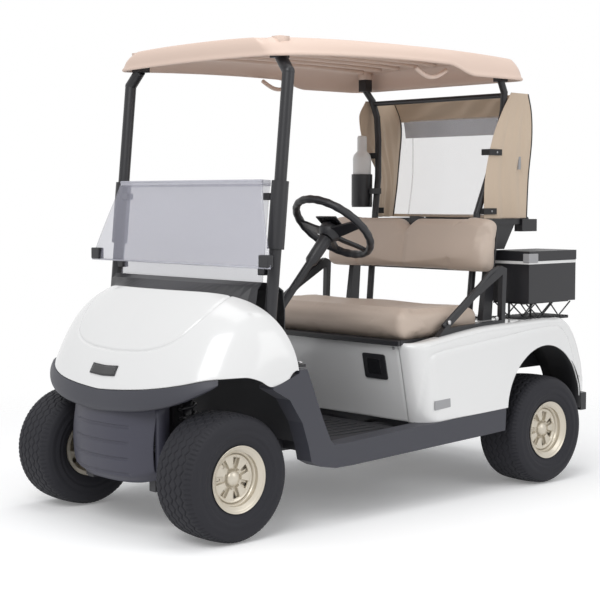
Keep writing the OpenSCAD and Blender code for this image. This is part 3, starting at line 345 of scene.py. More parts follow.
def cowlPoint(s, t):
    s, t = np.asarray(s, float), np.asarray(t, float)
    a, sign = np.abs(s) * np.pi / 2, np.sign(s)
    w, c = np.sin(a)**2, np.sin(a)**0.94
    low = np.stack([sign * halfWidth * np.sin(a)**0.79, cowl["rear"] - cowl["sweep"] * np.cos(a)**0.73,
                    curve(np.abs(s), cowl["stations"], cowl["edge"])], -1)
    back = np.stack([sign * halfWidth * c, mix(frontAxle + 0.04, cowl["rear"], c**2.5),
                     cowl["low"] + (cowl["crown"] - cowl["low"]) * np.maximum(0, 1 - c**6)**0.6], -1)
    flat, rise = mix(0.30, 0.485, w)[..., None], mix(0.51, 1.25, w)[..., None]
    middle = low + (back - low) * np.concatenate([flat, flat, rise], -1)
    t = t[..., None]
    return low * (1 - t)**2 + 2 * middle * t * (1 - t) + back * t * t


def normals(p):
    n = np.cross(np.gradient(p, axis=1), np.gradient(p, axis=0))
    return n / np.maximum(np.linalg.norm(n, axis=-1), 1e-12)[..., None]


def cowlPatch(s, t, out=0.0):
    p = cowlPoint(s, t)
    n = normals(p)
    return p + n * np.asarray(out)[..., None]


s, t = np.meshgrid(np.linspace(-0.975, 0.975, 321), np.linspace(0, 1, 150))
p = cowlPoint(s, t)
groove = lineDistance(np.abs(p[..., 0]), p[..., 2], cowl["line"])
p = p - normals(p) * (cowl["grooveDepth"] * np.exp(-(groove / cowl["grooveWidth"])**2))[..., None]
solid(piece("cowl_skin", surface(p), m["bodyWhite"], stands=["front_cowl"], closed=False),
      cowl["skin"])
# A blank badge on the nose: its plate and glossy face, as spans of the cowl's own surface
for name, half, low, high, proud, thick, look in (
        ("cowl_badge", 0.052, 0.125, 0.225, 0.0038, 0.0045, "blackPlastic"),
        ("cowl_badge_face", 0.046, 0.138, 0.212, 0.0046, 0.0012, "blackGloss")):
    s, t = np.meshgrid(np.linspace(-half, half, 24), np.linspace(low, high, 12))
    plate = surface(cowlPatch(s, t, np.full(s.shape, proud)))
    solid(piece(name, plate, m[look], closed=False), thick)

# Front bumper: a band that follows the cowl's lower edge, fuller at the corners
bumper = dict(end=0.62, thick=0.040, gap=0.003, least=0.004, drop=0.074, proud=0.010, corner=0.012)


# Heights of the band's edges at station s, which is 0 at the nose and 1 at the cowl's side
def bumperTop(s):
    return curve(np.abs(s), cowl["stations"], cowl["edge"]) - bumper["gap"]


def bumperLow(s):
    taper = np.maximum(0, 1 - (np.abs(s) / (bumper["end"] + 0.02))**3)**0.7
    return bumperTop(s) - bumper["least"] - bumper["drop"] * taper


def bumperPoint(s, out, z):
    d = cowlPoint(s + 0.004, 0 * s) - cowlPoint(s - 0.004, 0 * s)
    n = np.stack([d[..., 1], -d[..., 0]], -1) / np.hypot(d[..., 0], d[..., 1])[..., None]
    e = cowlPoint(s, 0 * s)
    return np.stack([e[..., 0] + n[..., 0] * out, e[..., 1] + n[..., 1] * out, z], -1)


s, t = np.meshgrid(np.linspace(-bumper["end"], bumper["end"], 161), np.linspace(0, 1, 40))
top, low = bumperTop(s), bumperLow(s)
# The section is rounded: a quarter circle back at top and bottom
bulge = bumper["proud"] + bumper["corner"] * (s / bumper["end"])**2
a = t * np.pi
outer = bumperPoint(s, bulge - 0.016 * (1 - np.sin(a)**0.55) + 0.004 * np.sin(a * 2),
                    mix(low, top, 0.5 - 0.5 * np.cos(a)))
back = bumperPoint(s[:2], np.full(s[:2].shape, 0.010 - bumper["thick"]), np.stack([top[0], low[0]]))
piece("bumper_skin", surface(np.concatenate([outer, back]), wrapRow=True), m["cladding"],
      stands=["front_bumper"])

# Front apron under the bumper, with four pressed grooves
apron = dict(half=0.255, low=0.180, grooves=[0.216, 0.272, 0.330, 0.388], depth=0.0045, width=0.0052)
x, t = np.meshgrid(np.linspace(-apron["half"], apron["half"], 141), np.linspace(0, 1, 150))
station = np.arcsin((np.abs(x) / halfWidth)**(1 / 0.79)) / (np.pi / 2)
z = mix(apron["low"] + 0.030 * (np.abs(x) / apron["half"])**5, bumperLow(station) + 0.004, t)
y = (frontAxle - 0.209 + 0.070 * (np.abs(x) / apron["half"])**2.4
     - 0.014 * np.sin(np.radians((z - apron["low"]) * 1000 / 1.4)))
y = y + 0.030 * (1 - smooth(0, 0.16, t))**2
inside = 1 - smooth(0.15, 0.175, np.abs(x))
for g in apron["grooves"]:
    y = y + inside * apron["depth"] * np.exp(-((z - g) / apron["width"])**4)
solid(piece("apron_skin", surface(np.stack([x, y, z], -1)), m["apronGrey"], stands=["front_apron"],
            closed=False), 0.005)
wing = np.array([[(0.252, frontAxle - 0.142, z), (0.262, frontAxle - 0.132, z), (0.268, frontAxle - 0.09, z)]
                 for z in np.linspace(0.20, 0.475, 8)])
solid(piece("apron_wings", both(surface(wing)), m["apronGrey"], closed=False), 0.004)
print("stage: front")

# Rear body: cross sections along the cart, from the box's face to the tail
body = dict(front=rearAxle - 0.800, corner=0.092, tail=rearAxle + 0.300, tailCorner=0.055, shoulder=0.026,
            archY=rearAxle - 0.010, archZ=0.335, archR=0.253, foot=0.3265, footRise=0.0403,
            faceLow=0.327, faceHeight=0.311, lean=0.065, skin=0.005, wallRows=78)
deckLine = ([-0.80, -0.76, -0.65, -0.50, -0.40, -0.20, 0.0, 0.064, 0.126, 0.175, 0.219, 0.249, 0.279, 0.300],
            [0.638, 0.640, 0.653, 0.672, 0.682, 0.690, 0.695,
             0.693, 0.688, 0.656, 0.593, 0.521, 0.440, 0.372])
sideLine = [(-0.730, 0.340), (-0.732, 0.455), (-0.728, 0.560), (-0.720, 0.585), (-0.700, 0.599),
            (-0.640, 0.611), (-0.326, 0.640), (-0.121, 0.660), (0.012, 0.666), (0.080, 0.664),
            (0.125, 0.645), (0.165, 0.600), (0.200, 0.530), (0.235, 0.430)]


def bodyHalf(y):
    q = y - rearAxle
    w = np.where(q < -0.2, mix(halfWidth - 0.012, halfWidth, smooth(-0.8, -0.2, q)),
                 mix(halfWidth, halfWidth - 0.022, smooth(-0.2, 0.30, q)))
    c = body["corner"] - np.clip(y - body["front"], 0, body["corner"])
    w = w - body["corner"] + np.sqrt(np.maximum(0, body["corner"]**2 - c**2))
    c = body["tailCorner"] - np.clip(body["tail"] - y, 0, body["tailCorner"])
    return w - body["tailCorner"] + np.sqrt(np.maximum(0, body["tailCorner"]**2 - c**2))


def bodyDeck(y):
    return curve(y - rearAxle, *deckLine)


def bodyFoot(y):
    return body["foot"] + body["footRise"] * (y - rearAxle + 0.798)


# The seat box's face leans forward: points near it move back towards the foot
def lean(y, z):
    down = np.clip(1 - (z - body["faceLow"]) / body["faceHeight"], 0, 1)
    return y + body["lean"] * down * (1 - smooth(body["front"], body["front"] + 0.30, y))


edges = [body["archY"] - body["archR"], body["archY"] + body["archR"]]
quarter = body["corner"] * (1 - np.cos(np.linspace(0, np.pi / 2, 18)))
ys = np.concatenate([body["front"] + quarter, np.linspace(body["front"] + 0.1, edges[0] - 0.004, 90),
                     [edges[0] - 0.0005, edges[0] + 0.0005],
                     body["archY"] - body["archR"] * np.cos(np.linspace(0.06, np.pi - 0.06, 96)),
                     [edges[1] - 0.0005, edges[1] + 0.0005],
                     body["tail"] - body["tailCorner"] * (1 - np.cos(np.linspace(np.pi / 2, 0, 14)))])
ys = np.unique(np.round(ys, 6))
arch = np.sqrt(np.maximum(0, body["archR"]**2 - (ys - body["archY"])**2))
inArch = np.abs(ys - body["archY"]) < body["archR"]
foot = np.where(inArch, body["archZ"] + arch, bodyFoot(ys))
w, deck = bodyHalf(ys), bodyDeck(ys)
foot = np.minimum(foot, deck - 0.02)
r = np.minimum(body["shoulder"], np.maximum(0.004, (deck - foot) * 0.5))
inner = np.where(ys < rearAxle - 0.274, 0.512, np.where(ys < rearAxle - 0.04, 0.0, 0.366))
inner = np.minimum(inner, w - r - 0.002)
rows = []
for k in np.linspace(0, 1, body["wallRows"]):
    z = mix(foot, deck - r, k)
    rows.append(np.stack([w, lean(ys, z), z], -1))
for a in np.linspace(0, np.pi / 2, 9)[1:]:
    z = deck - r + r * np.sin(a)
    rows.append(np.stack([w - r + r * np.cos(a), lean(ys, z), z], -1))
for k in np.linspace(0, 1, 12)[1:]:
    rows.append(np.stack([mix(w - r, inner, k), ys, deck - 0.0008 * k], -1))
p = np.array(rows)
q = p[..., 1] - rearAxle
line = lineDistance(q, p[..., 2], sideLine)
side = (p[..., 0] > 0.45) & (np.arange(len(rows)) < body["wallRows"] + 2)[:, None]
below = np.interp(q, [a for a, b in sideLine[1:]], [b for a, b in sideLine[1:]]) > p[..., 2]
# A line pressed along the side: a narrow groove, with the panel under it standing proud
press = dict(depth=0.0026, width=0.0040, proud=0.0035, fade=0.012)
raised = np.where(below & (q > -0.73), 1 - np.exp(-(line / press["fade"])**2), 0)
ridge = -press["depth"] * np.exp(-(line / press["width"])**2) + press["proud"] * raised
onset = smooth(body["front"] + 0.02, body["front"] + 0.09, p[..., 1])
p[..., 0] = p[..., 0] + np.where(side, ridge - press["proud"], 0) * onset
bodyShell = both(surface(p, flip=True))
# Face of the seat box between its two corners
x, t = np.meshgrid(np.linspace(-1, 1, 41), np.linspace(0, 1, 40))
z = mix(foot[0], 0.6365, t)
face = np.stack([x * w[0], lean(np.full(z.shape, body["front"]), z), z], -1)
solid(piece("rear_body_skin", joined(bodyShell, surface(face)), m["bodyWhite"], stands=["rear_body"],
            closed=False, sharp=50), body["skin"])
hinge = [prism([(rearAxle - 0.326, 0.639), (rearAxle - 0.264, 0.639), (rearAxle - 0.264, 0.682),
                (rearAxle - 0.275, 0.682), (rearAxle - 0.282, 0.66), (rearAxle - 0.326, 0.658)], e, e + 0.012)
         for e in (-0.334, -0.278, 0.266, 0.322)]
piece("seat_hinge_lugs", joined(*hinge), m["whitePlastic"])
# Near-black surfaces inside the wheel arches: painted shade where the arches lie in shadow
a = np.linspace(-0.25, np.pi + 0.25, 60)
archInsideR = body["archR"] + 0.004
archInside = np.array([[(x, body["archY"] - archInsideR * math.cos(k), max(0.30, body["archZ"] + archInsideR * math.sin(k)))
                   for k in a] for x in (0.372, 0.45, 0.52, 0.566)])
solid(piece("arch_painted_shade", both(surface(archInside)), m["paintedShade"], closed=False), 0.003)
# Charger cover, its key dot and a blank badge on the body's side
cover = dict(x=0.330, w=0.125, low=0.488, high=0.590)


def facePanel(x0, x1, z0, z1, out, r):
    a = np.linspace(0, np.pi / 2, 6)
    cx, cz = (x1 - x0) / 2 - r, (z1 - z0) / 2 - r
    corners = ((0, 1, 1), (np.pi / 2, -1, 1), (np.pi, -1, -1), (1.5 * np.pi, 1, -1))
    ring = np.concatenate([np.stack([sx * cx + r * np.cos(a + k), sz * cz + r * np.sin(a + k)], -1)
                           for k, sx, sz in corners])
    x, z = ring[:, 0] + (x0 + x1) / 2, ring[:, 1] + (z0 + z1) / 2
    y = lean(np.full(z.shape, body["front"]), z)
    n = len(x)
    v = np.concatenate([np.stack([x, y - out, z], -1), np.stack([x, y + 0.004, z], -1)])
    f = [list(range(n)), list(range(n, 2 * n))[::-1]]
    return v, f + [[i, (i + 1) % n, n + (i + 1) % n, n + i] for i in range(n)]


piece("charger_cover", facePanel(cover["x"] - cover["w"] / 2, cover["x"] + cover["w"] / 2, cover["low"],
                                 cover["high"], 0.006, 0.010), m["blackPlastic"], bevel=0.002, sharp=30)
piece("charger_window", facePanel(cover["x"] - 0.036, cover["x"] + 0.036, 0.508, 0.572, 0.0085, 0.008),
      m["blackGloss"], bevel=0.001, sharp=30)
dotY = float(lean(np.array(body["front"]), np.array(0.618)))
piece("key_dot", lathe([(0.0, -0.004), (0.006, -0.004), (0.0065, 0.002), (0.0, 0.002)],
                       (0.447, dotY, 0.620), (0, 1, 0), 20, False), m["greyPlastic"])
badge = [(rearAxle - 0.695, 0.378), (rearAxle - 0.535, 0.388),
         (rearAxle - 0.535, 0.424), (rearAxle - 0.695, 0.414)]
piece("side_badge", prism(badge, 0.571, 0.5755), m["greyPlastic"], bevel=0.001, sharp=30)
print("stage: rear body")

# Canopy: crowned top, sloping fascia and a lip that arches along each side
roof = dict(z=1.810, front=frontAxle + 0.223, rear=rearAxle - 0.050, half=0.515, thick=0.006, corner=0.070)
roofY, roofHalf = (roof["front"] + roof["rear"]) / 2, (roof["rear"] - roof["front"]) / 2


def roofOut(x, y):
    return (roof["z"] - 0.016 * (np.abs(x) / roof["half"])**2.4
            - 0.018 * (np.abs(y - roofY) / roofHalf)**2.6)


def lipLow(x, y):
    q = (y - roofY) / roofHalf
    step = smooth(rearAxle - 0.56, rearAxle - 0.39, y)
    rise = 0.008 * smooth(0.93, 0.99, -q) * (1 - (np.abs(x) / roof["half"])**2)
    return mix(roof["z"] - 0.076 - 0.022 * q * q, roof["z"] - 0.115, step) + rise


def roofOutline(arc, across, lengthways):
    u, v = 1 - roof["corner"] / roof["half"], 1 - roof["corner"] / roofHalf
    out = []
    signs = [(1, 1), (-1, 1), (-1, -1), (1, -1)]
    for k in range(4):
        a = np.pi / 2 * (k + np.linspace(0, 1, arc))
        c = np.stack([signs[k][0] * u + (1 - u) * np.cos(a), signs[k][1] * v + (1 - v) * np.sin(a)], -1)
        sx, sy = signs[(k + 1) % 4]
        a2 = np.pi / 2 * (k + 1)
        nextPoint = np.array([sx * u + (1 - u) * np.cos(a2), sy * v + (1 - v) * np.sin(a2)])
        n = across if k % 2 == 0 else lengthways
        out += [c, c[-1] + (nextPoint - c[-1]) * np.linspace(0, 1, n + 2)[1:-1, None]]
    return np.concatenate(out)


outline = roofOutline(12, 60, 90)


def roofPlan(inX, inY):
    q = outline[:, 1]
    w = roof["half"] - 0.025 * np.maximum(0, -q)**2 - 0.008 * np.maximum(0, q)**2
    return np.stack([outline[:, 0] * (w - inX * (1 + 0.35 * np.maximum(0, -q))),
                     roofY + q * (roofHalf - inY)], -1)


def roofRing(k, g, down):
    p = roofPlan(0.052 + g, 0.014 + g)
    x, y = p[:, 0] * k, roofY + (p[:, 1] - roofY) * k
    z = roofOut(x, y) - down
    # Shallow panel pressed into the top and a drain notch near each front corner
    z = z - 0.004 * smooth(0.86, 0.80, k)
    notch = np.exp(-((np.abs(x) - 0.385) / 0.016)**2) * smooth(roofY - 0.52, roofY - 0.60, y)
    return np.stack([x, y, z - 0.010 * notch], -1)


def lipRing(inX, inY, up):
    p = roofPlan(inX, inY)
    return np.stack([p[:, 0], p[:, 1], lipLow(p[:, 0], p[:, 1]) + up], -1)


def fascia(g, n):
    top, foot = roofRing(1, g, g), lipRing(0.006 + g, 0.003 + g, 0.014)
    rows = []
    for t in np.linspace(0, 1, n)[1:]:
        bow = np.sin(np.pi * t) * 0.006
        p = mix(top, foot, t)
        d = p[:, :2] - [0, roofY]
        p[:, :2] += d / np.linalg.norm(d, axis=1)[:, None] * bow
        p[:, 2] += bow * 0.6
        rows.append(p)
    return rows


steps = [0.02, 0.2, 0.4, 0.6, 0.72, 0.80, 0.83, 0.86, 0.90, 0.94, 0.97, 0.985, 0.995, 1]
ring = ([roofRing(k, 0, 0) for k in steps] + fascia(0, 9)
        + [lipRing(0.001, 0, 0.009), lipRing(0, 0, 0.004), lipRing(0.002, 0.002, 0), lipRing(0.008, 0.008, 0)]
        + fascia(roof["thick"], 6)[::-1] + [roofRing(k, roof["thick"], roof["thick"]) for k in steps[::-1]])
v, f = surface(np.array(ring), wrapColumn=True)
n = len(outline)
f = f + [list(range(n))[::-1], list(range((len(ring) - 1) * n, len(ring) * n))]
piece("canopy_shell", (v, f), m["canopyBeige"], stands=["canopy"])
# Stiffening ribs under the roof and pads on the struts
ribs = []
for x in np.linspace(-0.33, 0.33, 7):
    y = np.linspace(roof["front"] + 0.16, roof["rear"] - 0.15, 40)
    z = roofOut(np.full(40, x), y) - roof["thick"] - 0.016
    ribs.append(tube(np.stack([np.full(40, x), y, z], -1), 0.011, 8))
for x, y in ((0.428, frontAxle + 0.300), (0.402, rearAxle - 0.113)):
    ribs.append(box((x - 0.022, y - 0.024, 1.748), (x + 0.022, y + 0.024, 1.790)))
    ribs.append(box((-x - 0.022, y - 0.024, 1.748), (-x + 0.022, y + 0.024, 1.790)))
piece("canopy_ribs", joined(*ribs), m["canopyBeige"])
# Hand holds moulded under each side
hold = dict(x=0.455, z=1.716, start=0.06, length=0.18, drop=0.032, radius=0.009)
holds = []
for sx in (-1, 1):
    y = np.linspace(hold["start"], hold["start"] + hold["length"], 40)
    drop = hold["drop"] * np.sin(np.pi * (y - hold["start"]) / hold["length"])
    holds.append(tube(np.stack([np.full(40, sx * hold["x"]), y, hold["z"] - drop], -1), hold["radius"], 10))
piece("canopy_holds", joined(*holds), m["canopyBeige"])
print("stage: canopy")

# Tyres: a turned profile with zig-zag ribs on the tread and rings on the side wall
tyre = dict(radius=0.2286, around=640, zigzags=40, swing=0.006, groove=0.0055, grooveWidth=0.0030,
            blockDepth=0.0030)
half = np.array([(0.1022, 0.060), (0.1022, 0.084), (0.1126, 0.084), (0.1161, 0.091), (0.1216, 0.094),
                 (0.1396, 0.103), (0.1636, 0.108), (0.1800, 0.1078), (0.1946, 0.106), (0.2060, 0.1025),
                 (0.2140, 0.097), (0.2200, 0.090), (0.2238, 0.082)])
d = np.concatenate([[0], np.cumsum(np.hypot(*np.diff(half, axis=0).T))])
wall = np.linspace(0, d[-1], 40)
wall = np.stack([np.interp(wall, d, half[:, 0]), np.interp(wall, d, half[:, 1])], -1)
for g, depth in ((0.150, -0.0016), (0.159, 0.0018), (0.1755, -0.0014), (0.190, 0.0014)):
    wall[:, 1] += depth * np.exp(-((wall[:, 0] - g) / 0.0032)**2) * (wall[:, 1] > 0.095)
tread = np.linspace(0.080, -0.080, 66)
crown = np.stack([tyre["radius"] - 0.0042 * (np.abs(tread) / 0.082)**2.2, tread], -1)
inside = np.array([(0.200, -0.090), (0.1636, -0.097), (0.1156, -0.080), (0.1096, -0.060),
                   (0.1096, 0.060), (0.1156, 0.080), (0.1636, 0.097), (0.200, 0.090)])
profile = np.concatenate([wall, crown, wall[::-1] * [1, -1]])
angle = np.linspace(0, 2 * np.pi, tyre["around"], endpoint=False)
radius = np.repeat(profile[:, :1], tyre["around"], 1)
offset = np.repeat(profile[:, 1:], tyre["around"], 1)
saw = np.abs((angle / (2 * np.pi) * tyre["zigzags"]) % 1 * 2 - 1) * 2 - 1
shade = np.abs(offset) < 0.079
for k, centre in enumerate((-0.056, -0.028, 0.0, 0.028, 0.056)):
    at = centre + tyre["swing"] * saw * (1 if k % 2 else -1)
    radius = radius - tyre["groove"] * np.exp(-((offset - at) / tyre["grooveWidth"])**4) * shade
# Shoulder blocks
cut = np.abs((angle / (2 * np.pi) * tyre["zigzags"] * 2) % 1 - 0.5) < 0.16
shoulder = smooth(0.070, 0.075, np.abs(offset)) * (np.abs(offset) < 0.094) * (radius > 0.205)
radius = radius - tyre["blockDepth"] * cut[None] * shoulder
rad = np.concatenate([radius, np.repeat(inside[:, :1], tyre["around"], 1)])
off = np.concatenate([offset, np.repeat(inside[:, 1:], tyre["around"], 1)])
tyrePoints = np.stack([off, rad * np.cos(angle), rad * np.sin(angle)], -1)

# Wheels: a cover with seven petals between slots painted near black as painted shade, a domed centre and a
# bright lip
rimFace = dict(radius=0.0955, petals=7, proud=0.012, slotDepth=0.020)
wheelR, wheelA = np.meshgrid(np.linspace(0.0, rimFace["radius"], 74),
                             np.linspace(0, 2 * np.pi, 560, endpoint=False), indexing="ij")
petal = np.abs((wheelA / (2 * np.pi) * rimFace["petals"]) % 1 - 0.5) * 2
dome = 0.058 + 0.020 * np.sqrt(np.maximum(0, 1 - (wheelR / 0.030)**2)) * (wheelR < 0.030)
spread = mix(dome, 0.052, smooth(0.028, 0.036, wheelR))
# Petals are proud wedges; the gap between two of them widens outwards
wedge = (smooth(0.40, 0.52, petal + 0.10 * (wheelR - 0.06) / 0.03)
         * smooth(0.034, 0.040, wheelR) * smooth(0.084, 0.079, wheelR))
gap = smooth(0.20, 0.10, petal) * smooth(0.050, 0.056, wheelR) * smooth(0.081, 0.077, wheelR)
height = spread + rimFace["proud"] * wedge - rimFace["slotDepth"] * gap
height = mix(height, 0.072, smooth(0.082, 0.0935, wheelR))
coverPoints = np.stack([height, wheelR * np.cos(wheelA), wheelR * np.sin(wheelA)], -1)
coverFaces = surface(coverPoints, wrapColumn=True)
# Faces in the slots take the near-black painted shade
coverShadePick = (gap[:-1] > 0.5).astype(int).ravel()
# Sections of the bright lip and of the ring inside it, as (radius, offset) from the wheel's middle
lip = [(0.0955, 0.050), (0.0955, 0.072), (0.0985, 0.0775), (0.103, 0.084), (0.1105, 0.0905), (0.1165, 0.0945),
       (0.1195, 0.0975), (0.1200, 0.0990), (0.1185, 0.0995), (0.1150, 0.0975), (0.1125, 0.0955),
       (0.1120, 0.088), (0.1010, 0.086), (0.1010, 0.050)]
ringInner = [(0.074, 0.060), (0.080, 0.0655), (0.084, 0.066), (0.087, 0.0635), (0.087, 0.055), (0.074, 0.055)]
for name, x, y, sign, b in (("front_left", 0.450, frontAxle, 1, "wheel_front_left"),
                            ("front_right", -0.450, frontAxle, -1, "wheel_front_right"),
                            ("rear_left", 0.490, rearAxle, 1, "wheel_rear_left"),
                            ("rear_right", -0.490, rearAxle, -1, "wheel_rear_right")):
    centre = np.array([x, y, tyre["radius"]])
    tyreShell = surface(tyrePoints + centre, wrapRow=True, wrapColumn=True)
    piece("tyre_" + name + "_tread", tyreShell, m["tyreRubber"], b, ["tyre_" + name])
    v, f = coverFaces
    lathes = joined((v * [sign, 1, 1] + centre, f if sign > 0 else [q[::-1] for q in f]),
                    lathe(lip, centre, (sign, 0, 0), 128), lathe(ringInner, centre, (sign, 0, 0), 96))
    shadePicks = np.concatenate([coverShadePick, np.zeros(len(lathes[1]) - len(f), int)])
    piece("cover_" + name, lathes, [m["champagne"], m["paintedShade"]], b, closed=False,
          pick=shadePicks, sharp=40)
print("stage: wheels")

# Coil springs and dampers of the front suspension
spring = dict(turns=9, radius=0.030, wire=0.0052)
low, high = np.array([0.275, frontAxle, 0.180]), np.array([0.253, frontAxle, 0.552])
n = spring["turns"] * 36
t = np.linspace(0, 1, n)
axis = (high - low) / np.linalg.norm(high - low)
s1 = np.cross(axis, [0, 1, 0])
s1 /= np.linalg.norm(s1)
s2 = np.cross(axis, s1)
a = t * spring["turns"] * 2 * np.pi
turn = np.cos(a)[:, None] * s1 + np.sin(a)[:, None] * s2
coil = low + axis * (0.036 + 0.29 * t)[:, None] + spring["radius"] * turn
damper = [(0.0, 0.0), (0.014, 0.0), (0.014, 0.19), (0.020, 0.192), (0.020, 0.30), (0.0, 0.30)]
parts = [tube(coil, spring["wire"], 8),
         lathe(damper, low, axis, 24, False),
         lathe([(0.012, 0.024), (0.037, 0.026), (0.037, 0.031), (0.012, 0.033)], low, axis, 32),
         lathe([(0.012, 0.328), (0.037, 0.330), (0.037, 0.335), (0.012, 0.337)], low, axis, 32),
         lathe([(0.0, 0.335), (0.012, 0.335), (0.012, 0.371), (0.0, 0.371)], low, axis, 20, False)]
piece("front_springs", both(joined(*parts)), m["blackMetal"], stands=["front_shocks"])
print("stage: suspension")

# Steering wheel: thick grip, three flat spokes, hub pad and card clip
wheel = dict(hub=np.array([0.280, frontAxle + 0.704, 1.094]), radius=0.165, grip=0.0145)
axis = np.array([0, 157, 178.0])
axis /= np.linalg.norm(axis)
right, up = np.array([1.0, 0, 0]), np.cross(axis, [1.0, 0, 0])
up = -up if up[2] < 0 else up


def inWheel(points):
    p = np.asarray(points, float)
    return wheel["hub"] + p[..., :1] * right + p[..., 1:2] * up + p[..., 2:3] * axis


a = np.linspace(0, 2 * np.pi, 96, endpoint=False)
b = np.linspace(0, 2 * np.pi, 20, endpoint=False)
grip = wheel["grip"] * (1 + 0.05 * np.cos(a * 24))[:, None]
rr = wheel["radius"] + grip * np.cos(b)
gripRing = np.stack([rr * np.cos(a)[:, None], rr * np.sin(a)[:, None], 1.1 * grip * np.sin(b)], -1)
rimPart = surface(inWheel(gripRing), wrapRow=True, wrapColumn=True)


def spoke(angle, w0, w1):
    t = np.linspace(0, 1, 16)
    r = mix(0.028, wheel["radius"] - 0.006, t)
    w = mix(w0, w1, t**1.5)
    z = mix(-0.026, -0.004, smooth(0, 1, t))
    c, s = math.cos(angle), math.sin(angle)
    loop = []
    for sx, dz in ((-1, -0.006), (1, -0.006), (1, 0.004), (-1, 0.004)):
        loop.append(np.stack([c * r - s * w * sx, s * r + c * w * sx, z + dz], -1))
    v, f = surface(inWheel(np.stack(loop, 1)), wrapColumn=True)
    return v, f + [[0, 1, 2, 3], [60, 61, 62, 63]]


hubPart = lathe([(0, -0.056), (0.030, -0.056), (0.044, -0.036), (0.046, -0.020), (0.040, -0.006),
                 (0, -0.002)], wheel["hub"], axis, 40, False)
shaftPart = lathe([(0, -0.180), (0.010, -0.180), (0.010, -0.05), (0, -0.05)], wheel["hub"], axis, 20, False)
piece("steering_grip", joined(rimPart, hubPart, shaftPart, spoke(math.radians(8), 0.026, 0.017),
                              spoke(math.radians(172), 0.026, 0.017), spoke(math.radians(238), 0.014, 0.011),
                              spoke(math.radians(302), 0.014, 0.011)),
      m["blackPlastic"], "steering_wheel", ["steering_wheel"], sharp=50)
clipPlate = carried(box((-0.056, 0.000, 0.001), (0.056, 0.058, 0.007)), inWheel)
clipBar = carried(box((-0.048, 0.040, 0.007), (0.048, 0.052, 0.013)), inWheel)
piece("card_clip", joined(clipPlate, clipBar), m["blackGloss"], "steering_wheel", bevel=0.002, sharp=30)
# Slim column with a short collar under the hub and a bracket to the dash
top = wheel["hub"] - axis * 0.062
low = np.array([0.280, frontAxle + 0.245, 0.592])
reach = float(np.linalg.norm(top - low))
column = dict(radius=0.0155, neck=0.024, collar=0.026)
columnPart = lathe([(0, 0), (column["radius"], 0), (column["radius"], reach - 0.125),
                    (column["neck"], reach - 0.112), (column["collar"], reach), (0, reach)],
                   low, top - low, 28, False)
bracketPart = box((0.262, frontAxle + 0.302, 0.740), (0.298, frontAxle + 0.396, 0.762))
piece("steering_column_tube", joined(columnPart, bracketPart), m["blackMetal"], stands=["steering_column"],
      sharp=40)
print("stage: steering wheel")

# Screen: folded pane in front of the fixed one, its edge strip and corner clips
pane = dict(foldZ=1.269, lowZ=0.961, lowFront=0.0634, tilt=0.206, topHalf=0.434, lowHalf=0.549, thick=0.005)


def strutY(z):
    return frontAxle + mix(0.186, 0.291, (z - 0.602) / (1.660 - 0.602))


foldY = strutY(pane["foldZ"]) - 0.0465
s, t = np.meshgrid(np.linspace(-1, 1, 60), np.linspace(0, 1, 40))
z = mix(pane["lowZ"], pane["foldZ"], t)
half = mix(pane["lowHalf"], pane["topHalf"], smooth(0, 1, t)**0.8 * 0.35 + 0.65 * t)
y = foldY - pane["tilt"] * (pane["foldZ"] - z) - 0.006 * np.sin(np.pi * t)
upper = piece("screen_upper_pane", surface(np.stack([s * half, y, z], -1)), m["pane"],
              stands=["windscreen_upper"], closed=False)
solid(upper, pane["thick"])
z = mix(0.905, pane["foldZ"] - 0.008, t)
lower = piece("screen_lower_pane", surface(np.stack([s * 0.434, strutY(z) - 0.0125, z], -1)), m["pane"],
              stands=["windscreen_lower"], closed=False)
solid(lower, pane["thick"])
# The panes' bevelled edges, drawn lighter and less clear than the panes as a painted highlight
trim = []
for half, y, z, thick in ((pane["topHalf"], foldY, pane["foldZ"], 0.0045),
                          (pane["lowHalf"], foldY - pane["lowFront"], pane["lowZ"], 0.0035)):
    trim.append(tube([(-half, y, z), (half, y, z)], thick, 8))
piece("screen_edges", joined(*trim), m["paneEdgeHighlight"])
clip = dict(x=0.520, z=0.985, half=np.array([0.026, 0.014, 0.022]))
clips = []
for sx in (-1, 1):
    centre = np.array([sx * clip["x"], foldY - pane["tilt"] * (pane["foldZ"] - clip["z"]), clip["z"]])
    clips.append(box(centre - clip["half"], centre + clip["half"]))
# Clamps that hold the fixed pane to the struts
for sx in (-1, 1):
    for zc in (0.930, 1.200):
        clips.append(box((min(sx * 0.416, sx * 0.452), strutY(zc) - 0.022, zc),
                         (max(sx * 0.416, sx * 0.452), strutY(zc) + 0.008, zc + 0.026)))
piece("screen_corner_clips", joined(*clips), m["blackPlastic"], stands=["screen_clips"],
      bevel=0.004, sharp=30)
# Clear hinge strip along the fold, over both panes, drawn in the same lighter film as a painted highlight
strip = [(foldY - 0.004, pane["foldZ"] - 0.012), (strutY(pane["foldZ"]) - 0.002, pane["foldZ"] - 0.020),
         (strutY(pane["foldZ"]) - 0.002, pane["foldZ"] + 0.003), (foldY - 0.004, pane["foldZ"] + 0.006)]
piece("screen_hinge_strip", prism(strip, -0.432, 0.432), m["paneEdgeHighlight"], bevel=0.002, sharp=30)
print("stage: screen")

# Seat: padded cushion and backrest, sewn covers that are inflated a little
seat = dict(half=0.500, backHalf=0.476, front=rearAxle - 0.818, rear=rearAxle - 0.346, low=0.6545, high=0.762,
            backY=rearAxle - 0.292, backLow=0.902, backLen=0.2323, backThick=0.080, tilt=8,
            roundness=0.034, backRoundness=0.033, grid=0.014, voxel=0.006)


